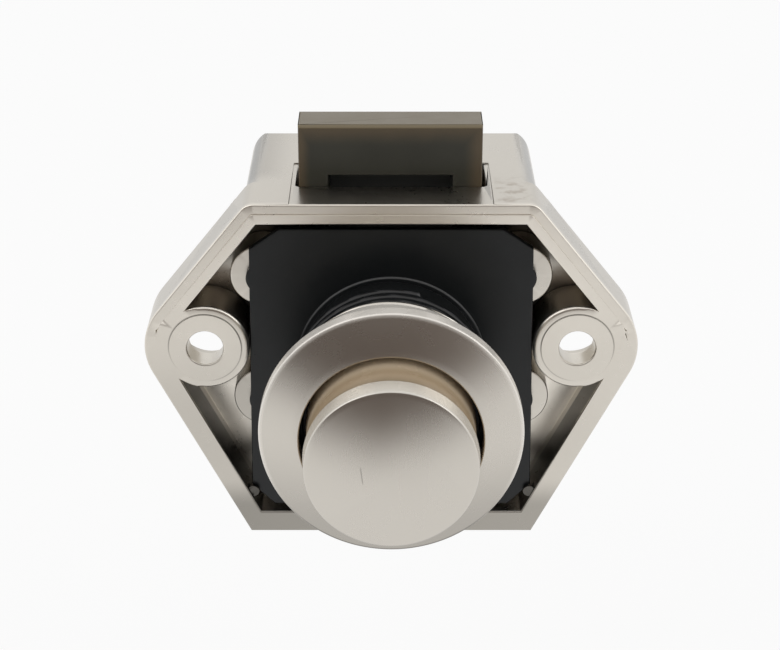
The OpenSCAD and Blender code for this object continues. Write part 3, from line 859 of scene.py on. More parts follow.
class Surface:
    """Points and faces of a piece in millimetres, gathered part by part."""

    def __init__(self) -> None:
        """Starts empty."""
        self.points: list[np.ndarray] = []
        self.faces: list[tuple[int, ...]] = []
        self.count = 0

    def add(self, points: np.ndarray, faces: Iterable[Sequence[int]]) -> None:
        """Adds one part.

        Args:
            points: its points, as rows of x, y and z.
            faces: its faces, as numbers of those points.
        """
        start = self.count
        self.points.append(points)
        self.faces.extend(tuple(start + i for i in face) for face in faces)
        self.count += len(points)

    def turned(self, outline: Sequence[tuple[float, float]], steps: int,
               reshape: Callable[[np.ndarray, np.ndarray, float], np.ndarray] | None = None) -> None:
        """Turns a closed outline about the button's axis.

        Args:
            outline: radius and distance in front of the rim of each point, in order round the section.
            steps: number of steps round the axis.
            reshape: changes the radii, given radii, distances and the angle from +X towards +Z.
        """
        radius, front = np.array(outline).T
        n = len(outline)
        rings = []
        for step in range(steps):
            angle = 2 * math.pi * step / steps
            r = radius if reshape is None else reshape(radius, front, angle)
            rings.append(np.stack([r * math.cos(angle), -front, r * math.sin(angle)], axis=1))
        faces = []
        for step in range(steps):
            here, there = step * n, (step + 1) % steps * n
            faces += [(here + i, here + (i + 1) % n, there + (i + 1) % n, there + i) for i in range(n)]
        self.add(np.concatenate(rings), faces)

    def wire(self, path: np.ndarray, radius: float, sides: int = 14) -> None:
        """Sweeps a round wire along a path, with rounded ends.

        Args:
            path: points of its middle line.
            radius: radius of the wire.
            sides: number of sides of its section.
        """
        ahead = np.gradient(path, axis=0)
        ahead /= np.linalg.norm(ahead, axis=1)[:, None]
        across = np.cross(ahead, [0.0, 0.0, 1.0])
        flat = np.linalg.norm(across, axis=1) < 1e-3
        across[flat] = np.cross(ahead[flat], [0.0, 1.0, 0.0])
        across /= np.linalg.norm(across, axis=1)[:, None]
        upward = np.cross(across, ahead)
        cap = [0.35, 0.72, 0.93]
        centres = [path[0] - ahead[0] * radius * math.sqrt(1 - c * c) for c in cap]
        centres += list(path)
        centres += [path[-1] + ahead[-1] * radius * math.sqrt(1 - c * c) for c in reversed(cap)]
        frames = [0] * len(cap) + list(range(len(path))) + [len(path) - 1] * len(cap)
        sizes = cap + [1.0] * len(path) + cap[::-1]
        turn = 2 * math.pi * np.arange(sides) / sides
        rings = []
        for centre, k, size in zip(centres, frames, sizes):
            ring = np.outer(np.cos(turn), across[k]) + np.outer(np.sin(turn), upward[k])
            rings.append(centre + radius * size * ring)
        n = len(rings)
        faces: list[Sequence[int]] = []
        for i in range(n - 1):
            a, b = i * sides, (i + 1) * sides
            faces += [(a + k, a + (k + 1) % sides, b + (k + 1) % sides, b + k) for k in range(sides)]
        faces += [tuple(range(sides))[::-1], tuple((n - 1) * sides + k for k in range(sides))]
        self.add(np.concatenate(rings), faces)

    def piece(self, name: str, smooth_below: float = 40.0) -> bpy.types.Object:
        """Makes the Blender object.

        Args:
            name: the piece's name.
            smooth_below: edges with a smaller angle, in degrees, are shaded smooth.

        Returns:
            The object, linked to the scene.
        """
        mesh = bpy.data.meshes.new(name)
        mesh.from_pydata((np.concatenate(self.points) * MM).tolist(), [], self.faces)
        work = bmesh.new()
        work.from_mesh(mesh)
        bmesh.ops.recalc_face_normals(work, faces=work.faces)
        for face in work.faces:
            face.smooth = True
        for edge in work.edges:
            if len(edge.link_faces) == 2:
                edge.smooth = edge.calc_face_angle(0.0) < math.radians(smooth_below)
        work.to_mesh(mesh)
        work.free()
        return linked(name, mesh)


def filleted(corners: Sequence[Point], steps: int = 6, guard: float = 0.03) -> list[tuple[float, float]]:
    """Rounds the corners of a closed outline.

    Args:
        corners: radius, distance and fillet of each corner, in order.
        steps: steps of each fillet.
        guard: distance from a fillet's end to an extra point that keeps the flat beside it flat.

    Returns:
        The outline's points.
    """
    made: list[tuple[float, float]] = []
    n = len(corners)
    for i, (r, h, fillet) in enumerate(corners):
        here = Vector((r, h))
        back = Vector(corners[i - 1][:2]) - here
        ahead = Vector(corners[(i + 1) % n][:2]) - here
        if fillet <= 0:
            made.append((r, h))
            continue
        a, b = back.normalized(), ahead.normalized()
        half = math.acos(max(-1.0, min(1.0, a.dot(b)))) / 2
        reach = min(fillet / math.tan(half), back.length * 0.48, ahead.length * 0.48)
        real = reach * math.tan(half)
        centre = here + (a + b).normalized() * (real / math.sin(half))
        start, end = here + a * reach, here + b * reach
        first, last = start - centre, end - centre
        sweep = first.angle_signed(last)
        made.append(tuple(start + a * min(guard, back.length * 0.02)))
        for k in range(steps + 1):
            angle = -sweep * k / steps
            c, s = math.cos(angle), math.sin(angle)
            made.append((centre.x + first.x * c - first.y * s, centre.y + first.x * s + first.y * c))
        made.append(tuple(end + b * min(guard, ahead.length * 0.02)))
    return made


def sampled(start: tuple[float, float], end: tuple[float, float], pitch: float) -> list[tuple[float, float]]:
    """Points along a straight part of an outline.

    Args:
        start: its first point.
        end: its last point.
        pitch: greatest distance between points.

    Returns:
        The points, with both ends.
    """
    n = max(1, math.ceil(math.dist(start, end) / pitch))
    return [(start[0] + (end[0] - start[0]) * k / n, start[1] + (end[1] - start[1]) * k / n)
            for k in range(n + 1)]


class RoundedCopy:
    """Copy of a CAD node whose sharp edges are rounded, as on the real casting or moulding."""

    SHARP = math.radians(35)
    CORNER = math.radians(25)
    TAPER = 0.3
    LARGE = 40.0

    def __init__(self, node: bpy.types.Object, name: str, steps: int = 4,
                 alike: float = 0.99995, same_level: float = 0.012) -> None:
        """Copies the node's mesh.

        Args:
            node: the CAD node.
            name: the new piece's name.
            steps: steps across a rounding.
            alike: least cosine between the normals of faces that count as one flat.
            same_level: greatest difference in their distance from the origin, in millimetres.
        """
        self.name = name
        self.steps = steps
        self.alike = alike
        self.same_level = same_level
        self.work = bmesh.new()
        self.work.from_mesh(node.data)
        bmesh.ops.remove_doubles(self.work, verts=self.work.verts, dist=2e-7)

    def drop(self, test: Callable[[Vector], bool]) -> None:
        """Removes the faces whose middle passes a test.

        Args:
            test: takes a face's middle in millimetres.
        """
        faces = [f for f in self.work.faces if test(f.calc_center_median() / MM)]
        bmesh.ops.delete(self.work, geom=faces, context="FACES")

    def flats(self, least: float) -> list[tuple[Vector, float]]:
        """Finds the flats of the piece.

        Args:
            least: smallest area in square millimetres.

        Returns:
            Outward normal and distance from the origin in millimetres, first those that face along Y.
        """
        areas: dict[tuple[float, ...], float] = {}
        self.work.normal_update()
        for face in self.work.faces:
            n = face.normal
            key = (round(n.x, 3), round(n.y, 3), round(n.z, 3), round(face.verts[0].co.dot(n) / MM, 2))
            areas[key] = areas.get(key, 0.0) + face.calc_area() / MM ** 2
        kept = [k for k, area in areas.items()
                if area > self.LARGE or area > least and max(abs(c) for c in k[:3]) > 0.9995]
        kept.sort(key=lambda k: (-abs(k[1]), -areas[k]))
        return [(Vector(k[:3]).normalized(), k[3]) for k in kept]

    def is_live(self, edge: bmesh.types.BMEdge, region: set[bmesh.types.BMFace], normal: Vector) -> bool:
        """Whether an edge is a sharp convex edge on the border of a flat.

        Args:
            edge: the edge.
            region: faces of the flat.
            normal: normal of the flat.

        Returns:
            True for an edge to round.
        """
        if len(edge.link_faces) != 2 or sum(f in region for f in edge.link_faces) != 1:
            return False
        if edge.calc_face_angle(0.0) < self.SHARP:
            return False
        outer = next(f for f in edge.link_faces if f not in region)
        return (outer.calc_center_median() - edge.verts[0].co).dot(normal) < -1e-7

    def soften(self, normal: Vector, level: float, radius: Callable[[Vector], float]) -> None:
        """Rounds the sharp convex edges round one flat.

        Args:
            normal: its outward normal.
            level: its distance from the origin in millimetres.
            radius: radius of the rounding at a point, both in millimetres.
        """
        work = self.work
        work.normal_update()
        region = {f for f in work.faces
                  if f.normal.dot(normal) > self.alike
                  and abs(f.verts[0].co.dot(normal) / MM - level) < self.same_level}
        border = {e for f in region for e in f.edges if sum(g in region for g in e.link_faces) == 1}
        live = {e for e in border if self.is_live(e, region, normal)}
        for edge in list(live):
            for vert in tuple(edge.verts):
                ends = [e for e in vert.link_edges if e in border]
                if all(e in live for e in ends) or edge.calc_length() < 3 * self.TAPER * MM:
                    continue
                rest, _ = bmesh.utils.edge_split(edge, vert, self.TAPER * MM / edge.calc_length())
                border.add(rest)
                live.add(rest)
        work.normal_update()
        rows: dict[bmesh.types.BMVert, list[bmesh.types.BMVert]] = {}
        moves: dict[bmesh.types.BMVert, Vector] = {}
        for vert in {v for e in live for v in e.verts}:
            ends = [e for e in vert.link_edges if e in border]
            size = radius(vert.co / MM) * MM
            if len(ends) != 2 or any(e not in live for e in ends) or size <= 0:
                rows[vert] = [vert] * (self.steps + 1)
                continue
            start, finish, weight = self.fillet(vert, ends, region, normal, size)
            row = [vert]
            for k in range(1, self.steps + 1):
                s = k / self.steps
                a, b, c = (1 - s) ** 2, 2 * weight * s * (1 - s), s * s
                row.append(work.verts.new((start * a + vert.co * b + finish * c) / (a + b + c)))
            rows[vert] = row
            moves[vert] = start
        quads = []
        for edge in live:
            inner = next(f for f in edge.link_faces if f in region)
            loop = next(x for x in inner.loops if x.edge == edge)
            a, b = loop.vert, loop.link_loop_next.vert
            for k in range(self.steps):
                ring = [rows[a][k], rows[b][k], rows[b][k + 1], rows[a][k + 1]]
                quads.append([v for i, v in enumerate(ring) if v is not ring[i - 1]])
        flat = [[rows[v][-1] if v in rows else v for v in f.verts] for f in region]
        bmesh.ops.delete(work, geom=list(region), context="FACES_ONLY")
        for verts in quads + flat:
            if len(set(verts)) >= 3:
                work.faces.new(verts)
        for vert, place in moves.items():
            vert.co = place

    def fillet(self, vert: bmesh.types.BMVert, ends: list[bmesh.types.BMEdge],
               region: set[bmesh.types.BMFace], normal: Vector, size: float
               ) -> tuple[Vector, Vector, float]:
        """Places the rounding at one point of an edge.

        Args:
            vert: the point.
            ends: the two edges that meet there.
            region: faces of the flat.
            normal: normal of the flat.
            size: radius in metres.

        Returns:
            Where it starts on the wall, where it ends on the flat, and the weight of the corner between.
        """
        inward, walls = [], []
        for edge in ends:
            along = (edge.verts[1].co - edge.verts[0].co).normalized()
            inner = next(f for f in edge.link_faces if f in region)
            outer = next(f for f in edge.link_faces if f not in region)
            side = normal.cross(along)
            loop = next(x for x in inner.loops if x.edge == edge)
            if (loop.link_loop_next.vert.co - loop.vert.co).dot(along) < 0:
                side = -side
            inward.append(side)
            walls.append(outer.normal.copy())
        mitre = (inward[0] + inward[1]) / max(1 + inward[0].dot(inward[1]), 0.35)
        wall = (walls[0] + walls[1]).normalized()
        down = (normal.dot(walls[0]) * walls[0] - normal).normalized()
        drop = (normal.dot(wall) * wall - normal).normalized()
        if walls[0].angle(walls[1]) > self.CORNER:
            drop = walls[0].cross(walls[1]).normalized()
            drop = -drop if drop.dot(normal) > 0 else drop
        half = normal.angle(walls[0]) / 2
        reach = size * math.tan(half)
        start = vert.co + drop * (reach / max(drop.dot(down), 0.4))
        return start, vert.co + mitre * reach, math.cos(half)

    def piece(self, radius: Callable[[Vector], float], least: float = 0.4) -> bpy.types.Object:
        """Rounds the edges of every flat and makes the Blender object.

        Args:
            radius: radius of the rounding at a point, both in millimetres.
            least: smallest area of a flat in square millimetres.

        Returns:
            The object, linked to the scene.
        """
        for normal, level in self.flats(least):
            self.soften(normal, level, radius)
        work = self.work
        work.normal_update()
        for face in work.faces:
            face.smooth = True
        for edge in work.edges:
            edge.smooth = len(edge.link_faces) == 2 and edge.calc_face_angle(0.0) < self.SHARP
        mesh = bpy.data.meshes.new(self.name)
        work.to_mesh(mesh)
        work.free()
        made = linked(self.name, mesh)
        shading = made.modifiers.new("flat_shading", "WEIGHTED_NORMAL")
        shading.keep_sharp = True
        shading.weight = 100
        depsgraph = bpy.context.evaluated_depsgraph_get()
        final = bpy.data.meshes.new_from_object(made.evaluated_get(depsgraph))
        made.modifiers.clear()
        made.data = final
        return made


@dataclass
class Housing:
    """The casting: rim, recess, ears, posts, corner tabs and the case."""

    rounding: float = 0.22
    boss_rounding: float = 0.45
    seat_rounding: float = 0.06
    step_rounding: float = 0.07
    step_growth: float = 0.003
    step_run_in: float = 2.5
    boss_r: float = 5.5
    ear_x: float = 23.0
    ear_z: float = 2.66
    seat_r: float = 4.5
    top_z: float = 21.5
    mark_half_w: float = 12.3
    mark_front: float = 0.35
    mark_depth: float = 0.15
    mark_back: float = 14.95
    rebate_w: float = 1.25
    rebate_d: float = 0.2
    rebate_end: float = 3.66
    upper_lean: float = 38.7
    ear_r: float = 7.5

    def inset(self, p: Vector) -> float:
        """Distance of a point inside the upper half of the flange's outline.

        Args:
            p: the point, in millimetres.

        Returns:
            The distance in millimetres.
        """
        lean = math.radians(self.upper_lean)
        slant = (self.ear_x * math.cos(lean) + self.ear_z * math.sin(lean) + self.ear_r
                 - abs(p.x) * math.cos(lean) - p.z * math.sin(lean))
        return min(slant, self.top_z - p.z)

    def radius(self, p: Vector) -> float:
        """Radius of the rounding at a point, small along the shallow steps.

        Args:
            p: the point, in millimetres.

        Returns:
            The radius in millimetres.
        """
        from_ear = math.hypot(abs(p.x) - self.ear_x, p.z - self.ear_z)
        if p.y < 0.02 and abs(from_ear - self.seat_r) < 0.1:
            return self.seat_rounding
        if p.y < 0.02 and abs(from_ear - self.boss_r) < 0.05 and abs(p.x) < self.ear_x + 1.0:
            return self.boss_rounding
        if p.y < self.rebate_d + 0.02 and abs(self.inset(p) - self.rebate_w) < 0.12:
            rise = p.z - self.rebate_end
            return 0.0 if rise < self.step_run_in else min(self.step_rounding, self.step_growth * rise)
        on_mark = abs(abs(p.x) - self.mark_half_w) < 0.02 or p.y < self.mark_front + 0.02
        on_mark = on_mark or abs(p.y - self.mark_back) < 0.02
        if p.z > self.top_z - self.mark_depth - 0.02 and p.y > self.mark_front - 0.02 and on_mark:
            return self.seat_rounding
        if p.y < self.rebate_d + 0.02 and from_ear > self.ear_r - 0.05:
            return self.rounding
        if self.rebate_d < p.y < 0.5:
            return self.step_rounding
        return self.rounding

    def build(self, nodes: dict[str, bpy.types.Object], paints: Paints) -> list[bpy.types.Object]:
        """Makes the housing in the place of its CAD node.

        Args:
            nodes: the CAD nodes.
            paints: the materials.

        Returns:
            The pieces made.
        """
        copy = RoundedCopy(nodes["housing"], "cast_housing", alike=0.9999, same_level=self.rebate_d + 0.02)
        made = copy.piece(self.radius)
        paints.dress(made, Slot.HOUSING)
        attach(made, "case")
        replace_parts(made, "housing")
        return [made]


@dataclass
class CoverPlate:
    """The black moulding: plate, rails and pins, and the collar with its thread."""

    rounding: float = 0.18
    plate_front: float = -0.9
    bore_r: float = 10.45
    root_r: float = 11.2
    crest_r: float = 11.95
    end: float = 14.2
    chamfer: float = 0.6
    pitch: float = 1.5
    first: float = 2.95
    start_angle: float = 70.0
    ridge_half: float = 0.40
    ridge_flank: float = 0.22
    run_in: float = 0.012
    step_r: float = 11.8
    step_h: float = 0.17

    def thread(self, radius: np.ndarray, front: np.ndarray, angle: float) -> np.ndarray:
        """Adds the one ridge that winds round the collar, from its start on the upper right.

        Args:
            radius: radii of the outline at this angle.
            front: distances in front of the rim.
            angle: angle from +X towards +Z.

        Returns:
            The new radii.
        """
        turn = ((angle - math.radians(self.start_angle)) / (2 * math.pi)) % 1.0
        along = (front - self.first) / self.pitch - turn
        nearest = np.round(along)
        off = np.abs(along - nearest)
        ridge = np.clip((self.ridge_half - off) / self.ridge_flank, 0, 1)
        ridge = ridge * ridge * (3 - 2 * ridge)
        if turn < self.run_in:
            ridge = np.where(nearest == 0, ridge * turn / self.run_in, ridge)
        ridge = np.where(nearest < 0, 0.0, ridge)
        on_wall = (radius > self.root_r - 0.01) & (front < self.end - self.chamfer) & (front > 1.0)
        return np.where(on_wall, self.root_r + (self.crest_r - self.root_r) * ridge, radius)

    def collar(self) -> Surface:
        """The collar in front of the plate.

        Returns:
            Its closed surface, sunk a little into the plate.
        """
        base = self.plate_front - 0.3
        step = self.plate_front + self.step_h
        made = Surface()
        outline = [(self.bore_r, base), (self.step_r, base)]
        outline += filleted([(self.step_r, base, 0), (self.step_r, step, 0.13),
                             (self.root_r, step, 0.01), (self.root_r, 1.0, 0)], 4)[1:-1]
        outline += sampled((self.root_r, 1.0), (self.root_r, self.end - self.chamfer), 0.07)
        rim_r = self.crest_r - self.chamfer
        outline += [(rim_r, self.end - 0.05), (rim_r - 0.05, self.end),
                    (self.bore_r + 0.08, self.end), (self.bore_r, self.end - 0.08)]
        outline += sampled((self.bore_r, self.end - 0.4), (self.bore_r, base + 0.2), 2.0)
        made.turned(outline, 288, self.thread)
        return made

    def build(self, nodes: dict[str, bpy.types.Object], paints: Paints) -> list[bpy.types.Object]:
        """Makes the cover plate in the place of its CAD node.

        Args:
            nodes: the CAD nodes.
            paints: the materials.

        Returns:
            The pieces made.
        """
        copy = RoundedCopy(nodes["cover_plate"], "collar_plate")
        copy.drop(lambda p: p.y < -self.plate_front - 0.02 and math.hypot(p.x, p.z) < 12.2)
        made = copy.piece(lambda p: self.rounding)
        collar = self.collar().piece("collar")
        with bpy.context.temp_override(active_object=made, selected_editable_objects=[made, collar]):
            bpy.ops.object.join()
        paints.dress(made, Slot.PLATE)
        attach(made, "case")
        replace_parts(made, "cover_plate")
        return [made]


@dataclass
class Rosette:
    """The turned ring with the sleeve that screws onto the collar."""

    bore_r: float = 12.05
    sleeve_r: float = 12.67
    sleeve_end: float = 8.4
    back: float = 16.0
    outer_r: float = 15.42
    front: float = 18.0
    hole_r: float = 10.66
    lip: float = 19.66
    wall: float = 2.4
    bulge: float = 0.07
    groove_depth: float = 0.17
    groove_width: float = 0.30
    groove_start: float = 0.72
    groove_lead: float = 0.62
    groove_kink: float = 70.0
    groove_period: float = 60.0

    def groove(self, radius: np.ndarray, front: np.ndarray, angle: float) -> np.ndarray:
        """Cuts the run-outs of the screw-cutting tool near the sleeve's end.

        Args:
            radius: radii of the outline at this angle.
            front: distances in front of the rim.
            angle: angle from +X towards +Z.

        Returns:
            The new radii.
        """
        share = ((math.degrees(angle) - self.groove_kink) / self.groove_period) % 1.0
        centre = self.sleeve_end + self.groove_start - self.groove_lead * share
        fade = min(1.0, share / 0.05, (1 - share) / 0.12 + 0.15)
        off = np.clip(1 - np.abs(front - centre) / self.groove_width, 0, 1)
        on_wall = (radius > self.sleeve_r - 0.06) & (front < self.back - 0.4)
        return np.where(on_wall, radius - fade * self.groove_depth * off * off * (3 - 2 * off), radius)

    def section(self) -> list[tuple[float, float]]:
        """The ring's section, with rounded edges and a slightly convex face.

        Returns:
            Its closed outline.
        """
        face = []
        outer, inner = Vector((self.outer_r - 0.34, self.front + 0.1)), Vector((self.hole_r + 0.3, self.lip))
        normal = Vector((inner.y - outer.y, outer.x - inner.x)).normalized()
        for k in range(1, 12):
            t = k / 12
            p = outer.lerp(inner, t) + normal * (self.bulge * 4 * t * (1 - t))
            face.append((p.x, min(p.y, self.lip), 0))
        corners = [
            (self.bore_r, self.sleeve_end, 0.12), (self.sleeve_r, self.sleeve_end, 0.08),
            (self.sleeve_r, self.back, 0.25), (self.outer_r, self.back, 0.25),
            (self.outer_r, self.front - 0.02, 0.3), (outer.x, outer.y, 0), *face,
            (self.hole_r + 0.05, self.lip, 0.22), (self.hole_r, self.lip - 0.3, 0),
            (self.hole_r, self.lip - self.wall, 0.15), (self.bore_r, self.lip - self.wall, 0.3),
        ]
        made = filleted(corners)
        rows = []
        for i, (r, h) in enumerate(made):
            rows.append((r, h))
            r2, h2 = made[(i + 1) % len(made)]
            if abs(r - self.sleeve_r) < 0.01 and abs(r2 - self.sleeve_r) < 0.01 and h2 - h > 1:
                split = sampled((r, h), (r, h + 1.8), 0.05) + [(r, h + 3)]
                rows += split[1:]
        return rows

    def build(self, paints: Paints) -> list[bpy.types.Object]:
        """Makes the rosette in the place of its CAD node.

        Args:
            paints: the materials.

        Returns:
            The pieces made.
        """
        surface = Surface()
        surface.turned(self.section(), 360, self.groove)
        made = surface.piece("screw_rosette")
        paints.dress(made, Slot.ROSETTE)
        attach(made, "rosette")
        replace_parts(made, "rosette")
        return [made]


@dataclass
class Button:
    """The pushbutton: turned cap, snap ring, plunger, release wedge and its pin."""

    head_r: float = 10.07
    edge_front: float = 26.4
    dome: float = 1.4
    head: float = 2.5
    draft: float = 0.2
    edge_fillet: float = 0.55
    groove: float = 0.48
    neck_r: float = 9.6
    neck_back_r: float = 10.0
    rear: float = 15.5
    bore_r: float = 8.27
    wall: float = 2.6
    snap_y: float = 22.2
    snap_wire: float = 0.45
    snap_mean: float = 8.2

    def section(self) -> list[tuple[float, float]]:
        """Half section of the cap, from the middle of its face round to the middle of its bore.

        Returns:
            The outline, open at the axis.
        """
        sphere_r = (self.head_r ** 2 + self.dome ** 2) / (2 * self.dome)
        middle = self.edge_front + self.dome - sphere_r
        face = []
        for k in range(1, 30):
            r = (self.head_r - self.draft - 0.02) * k / 30
            face.append((r, middle + math.sqrt(sphere_r ** 2 - r * r), 0))
        inner = self.edge_front - self.wall
        shoulder = self.edge_front - self.head
        groove = self.groove
        corners = [
            (self.head_r - self.draft, self.edge_front, self.edge_fillet), (self.head_r, shoulder, 0.16),
            (self.neck_r, shoulder, 0.10), (self.neck_back_r, self.rear, 0.2),
            (self.bore_r, self.rear, 0.2), (self.bore_r, self.snap_y - groove, 0),
            (self.bore_r + groove * 0.8, self.snap_y - groove * 0.5, 0),
            (self.bore_r + groove * 0.8, self.snap_y + groove * 0.5, 0),
            (self.bore_r, self.snap_y + groove, 0), (self.bore_r, inner, 0.3), (0.02, inner, 0),
            (0.02, self.edge_front + self.dome, 0), *face,
        ]
        return filleted(corners, 8)

    def cap(self, paints: Paints) -> bpy.types.Object:
        """Makes the cap.

        Args:
            paints: the materials.

        Returns:
            The piece.
        """
        surface = Surface()
        surface.turned(self.section(), 320)
        made = surface.piece("button_shell")
        paints.dress(made, Slot.BUTTON)
        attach(made, "button")
        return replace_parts(made, "button_cap")

    def snap_ring(self, paints: Paints) -> bpy.types.Object:
        """Makes the open wire ring in the cap's groove.

        Args:
            paints: the materials.

        Returns:
            The piece.
        """
        turn = np.radians(np.linspace(3, 317, 160))
        path = np.stack([self.snap_mean * np.cos(turn), np.full_like(turn, -self.snap_y),
                         self.snap_mean * np.sin(turn)], axis=1)
        surface = Surface()
        surface.wire(path, self.snap_wire)
        made = surface.piece("snap_ring_wire")
        paints.dress(made, Slot.SPRING)
        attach(made, "button")
        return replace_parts(made, "cap_snap_ring")

    def build(self, nodes: dict[str, bpy.types.Object], paints: Paints) -> list[bpy.types.Object]:
        """Makes the cap and ring, and rounds and dresses what is inside.

        Args:
            nodes: the CAD nodes.
            paints: the materials.

        Returns:
            The pieces made.
        """
        made = [self.cap(paints), self.snap_ring(paints)]
        for name, title, slot, width in (
            ("plunger", "plunger_moulding", Slot.PLUNGER, 0.15),
            ("release_wedge", "wedge_plate", Slot.STEEL, 0.12),
            ("wedge_pin", "wedge_cross_pin", Slot.STEEL, 0.12),
        ):
            piece = RoundedCopy(nodes[name], title, 2).piece(lambda p, size=width: size)
            paints.dress(piece, slot)
            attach(piece, "button")
            made.append(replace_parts(piece, name))
        return made


@dataclass
class Bolt:
    """The slam bolt and the pin that the wedge bears on."""

    rounding: float = 0.26
    top_z: float = 22.0

    def radius(self, p: Vector) -> float:
        """Radius of the rounding at a point, less on the edges inside the case.

        Args:
            p: the point, in millimetres.

        Returns:
            The radius in millimetres.
        """
        return self.rounding if p.z > self.top_z else 0.12

    def build(self, nodes: dict[str, bpy.types.Object], paints: Paints) -> list[bpy.types.Object]:
        """Makes the bolt and its pin.

        Args:
            nodes: the CAD nodes.
            paints: the materials.

        Returns:
            The pieces made.
        """
        bolt = RoundedCopy(nodes["latch_bolt"], "slam_bolt").piece(self.radius)
        paints.dress(bolt, Slot.BOLT)
        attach(bolt, "bolt")
        pin = RoundedCopy(nodes["bolt_pin"], "bolt_cross_pin", 2).piece(lambda p: 0.15)
        paints.dress(pin, Slot.STEEL)
        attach(pin, "bolt")
        return [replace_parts(bolt, "latch_bolt"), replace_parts(pin, "bolt_pin")]


@dataclass
class Springs:
    """The plunger's spring, the bolt's two springs and the pins inside them."""

    plunger_mean: float = 8.15
    plunger_wire: float = 0.45
    plunger_turns: float = 6.0
    plunger_low: float = -0.8
    plunger_high: float = 13.4
    bolt_mean: float = 1.4
    bolt_wire: float = 0.2
    bolt_turns: float = 9.0
    bolt_low: float = -17.3
    bolt_high: float = -4.1
    side: float = 10.0
    depth: float = 10.8

    @staticmethod
    def helix(mean: float, wire: float, turns: float, low: float, high: float, steps: int) -> np.ndarray:
        """Middle line of a coil with closed ends, about Z.

        Args:
            mean: its mean radius.
            wire: radius of the wire.
            turns: number of turns.
            low: where it starts, over the wire.
            high: where it ends, over the wire.
            steps: steps for each turn.

        Returns:
            The points.
        """
        t = np.linspace(0, turns, int(turns * steps) + 1)
        lift = 2.1 * wire
        rise = np.interp(t, [0, 1, turns - 1, turns],
                         [low + wire, low + wire + lift, high - wire - lift, high - wire])
        return np.stack([mean * np.cos(2 * math.pi * t), mean * np.sin(2 * math.pi * t), rise], axis=1)

    def build(self, nodes: dict[str, bpy.types.Object], paints: Paints) -> list[bpy.types.Object]:
        """Makes the springs in the places of their CAD nodes, and rounds the pins.

        Args:
            nodes: the CAD nodes.
            paints: the materials.

        Returns:
            The pieces made.
        """
        coil = self.helix(self.plunger_mean, self.plunger_wire, self.plunger_turns,
                          self.plunger_low, self.plunger_high, 48)
        main = Surface()
        main.wire(np.stack([coil[:, 0], -coil[:, 2], coil[:, 1]], axis=1), self.plunger_wire)
        piece = main.piece("plunger_coil")
        paints.dress(piece, Slot.SPRING)
        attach(piece, "case")
        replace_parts(piece, "plunger_spring")
        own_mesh(piece)
        made = [piece]
        for side, hand in (("left", -1), ("right", 1)):
            line = self.helix(self.bolt_mean, self.bolt_wire, self.bolt_turns, self.bolt_low,
                              self.bolt_high, 32)
            surface = Surface()
            surface.wire(line * [hand, 1, 1] + [hand * self.side, self.depth, 0], self.bolt_wire, 10)
            piece = surface.piece(f"bolt_coil_{side}")
            paints.dress(piece, Slot.SPRING)
            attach(piece, "case")
            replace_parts(piece, f"bolt_spring_{side}")
            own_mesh(piece)
            pin = RoundedCopy(nodes[f"spring_pin_{side}"], f"spring_guide_{side}", 2).piece(lambda p: 0.12)
            paints.dress(pin, Slot.STEEL)
            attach(pin, "case")
            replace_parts(pin, f"spring_pin_{side}")
            made += [piece, pin]
        return made


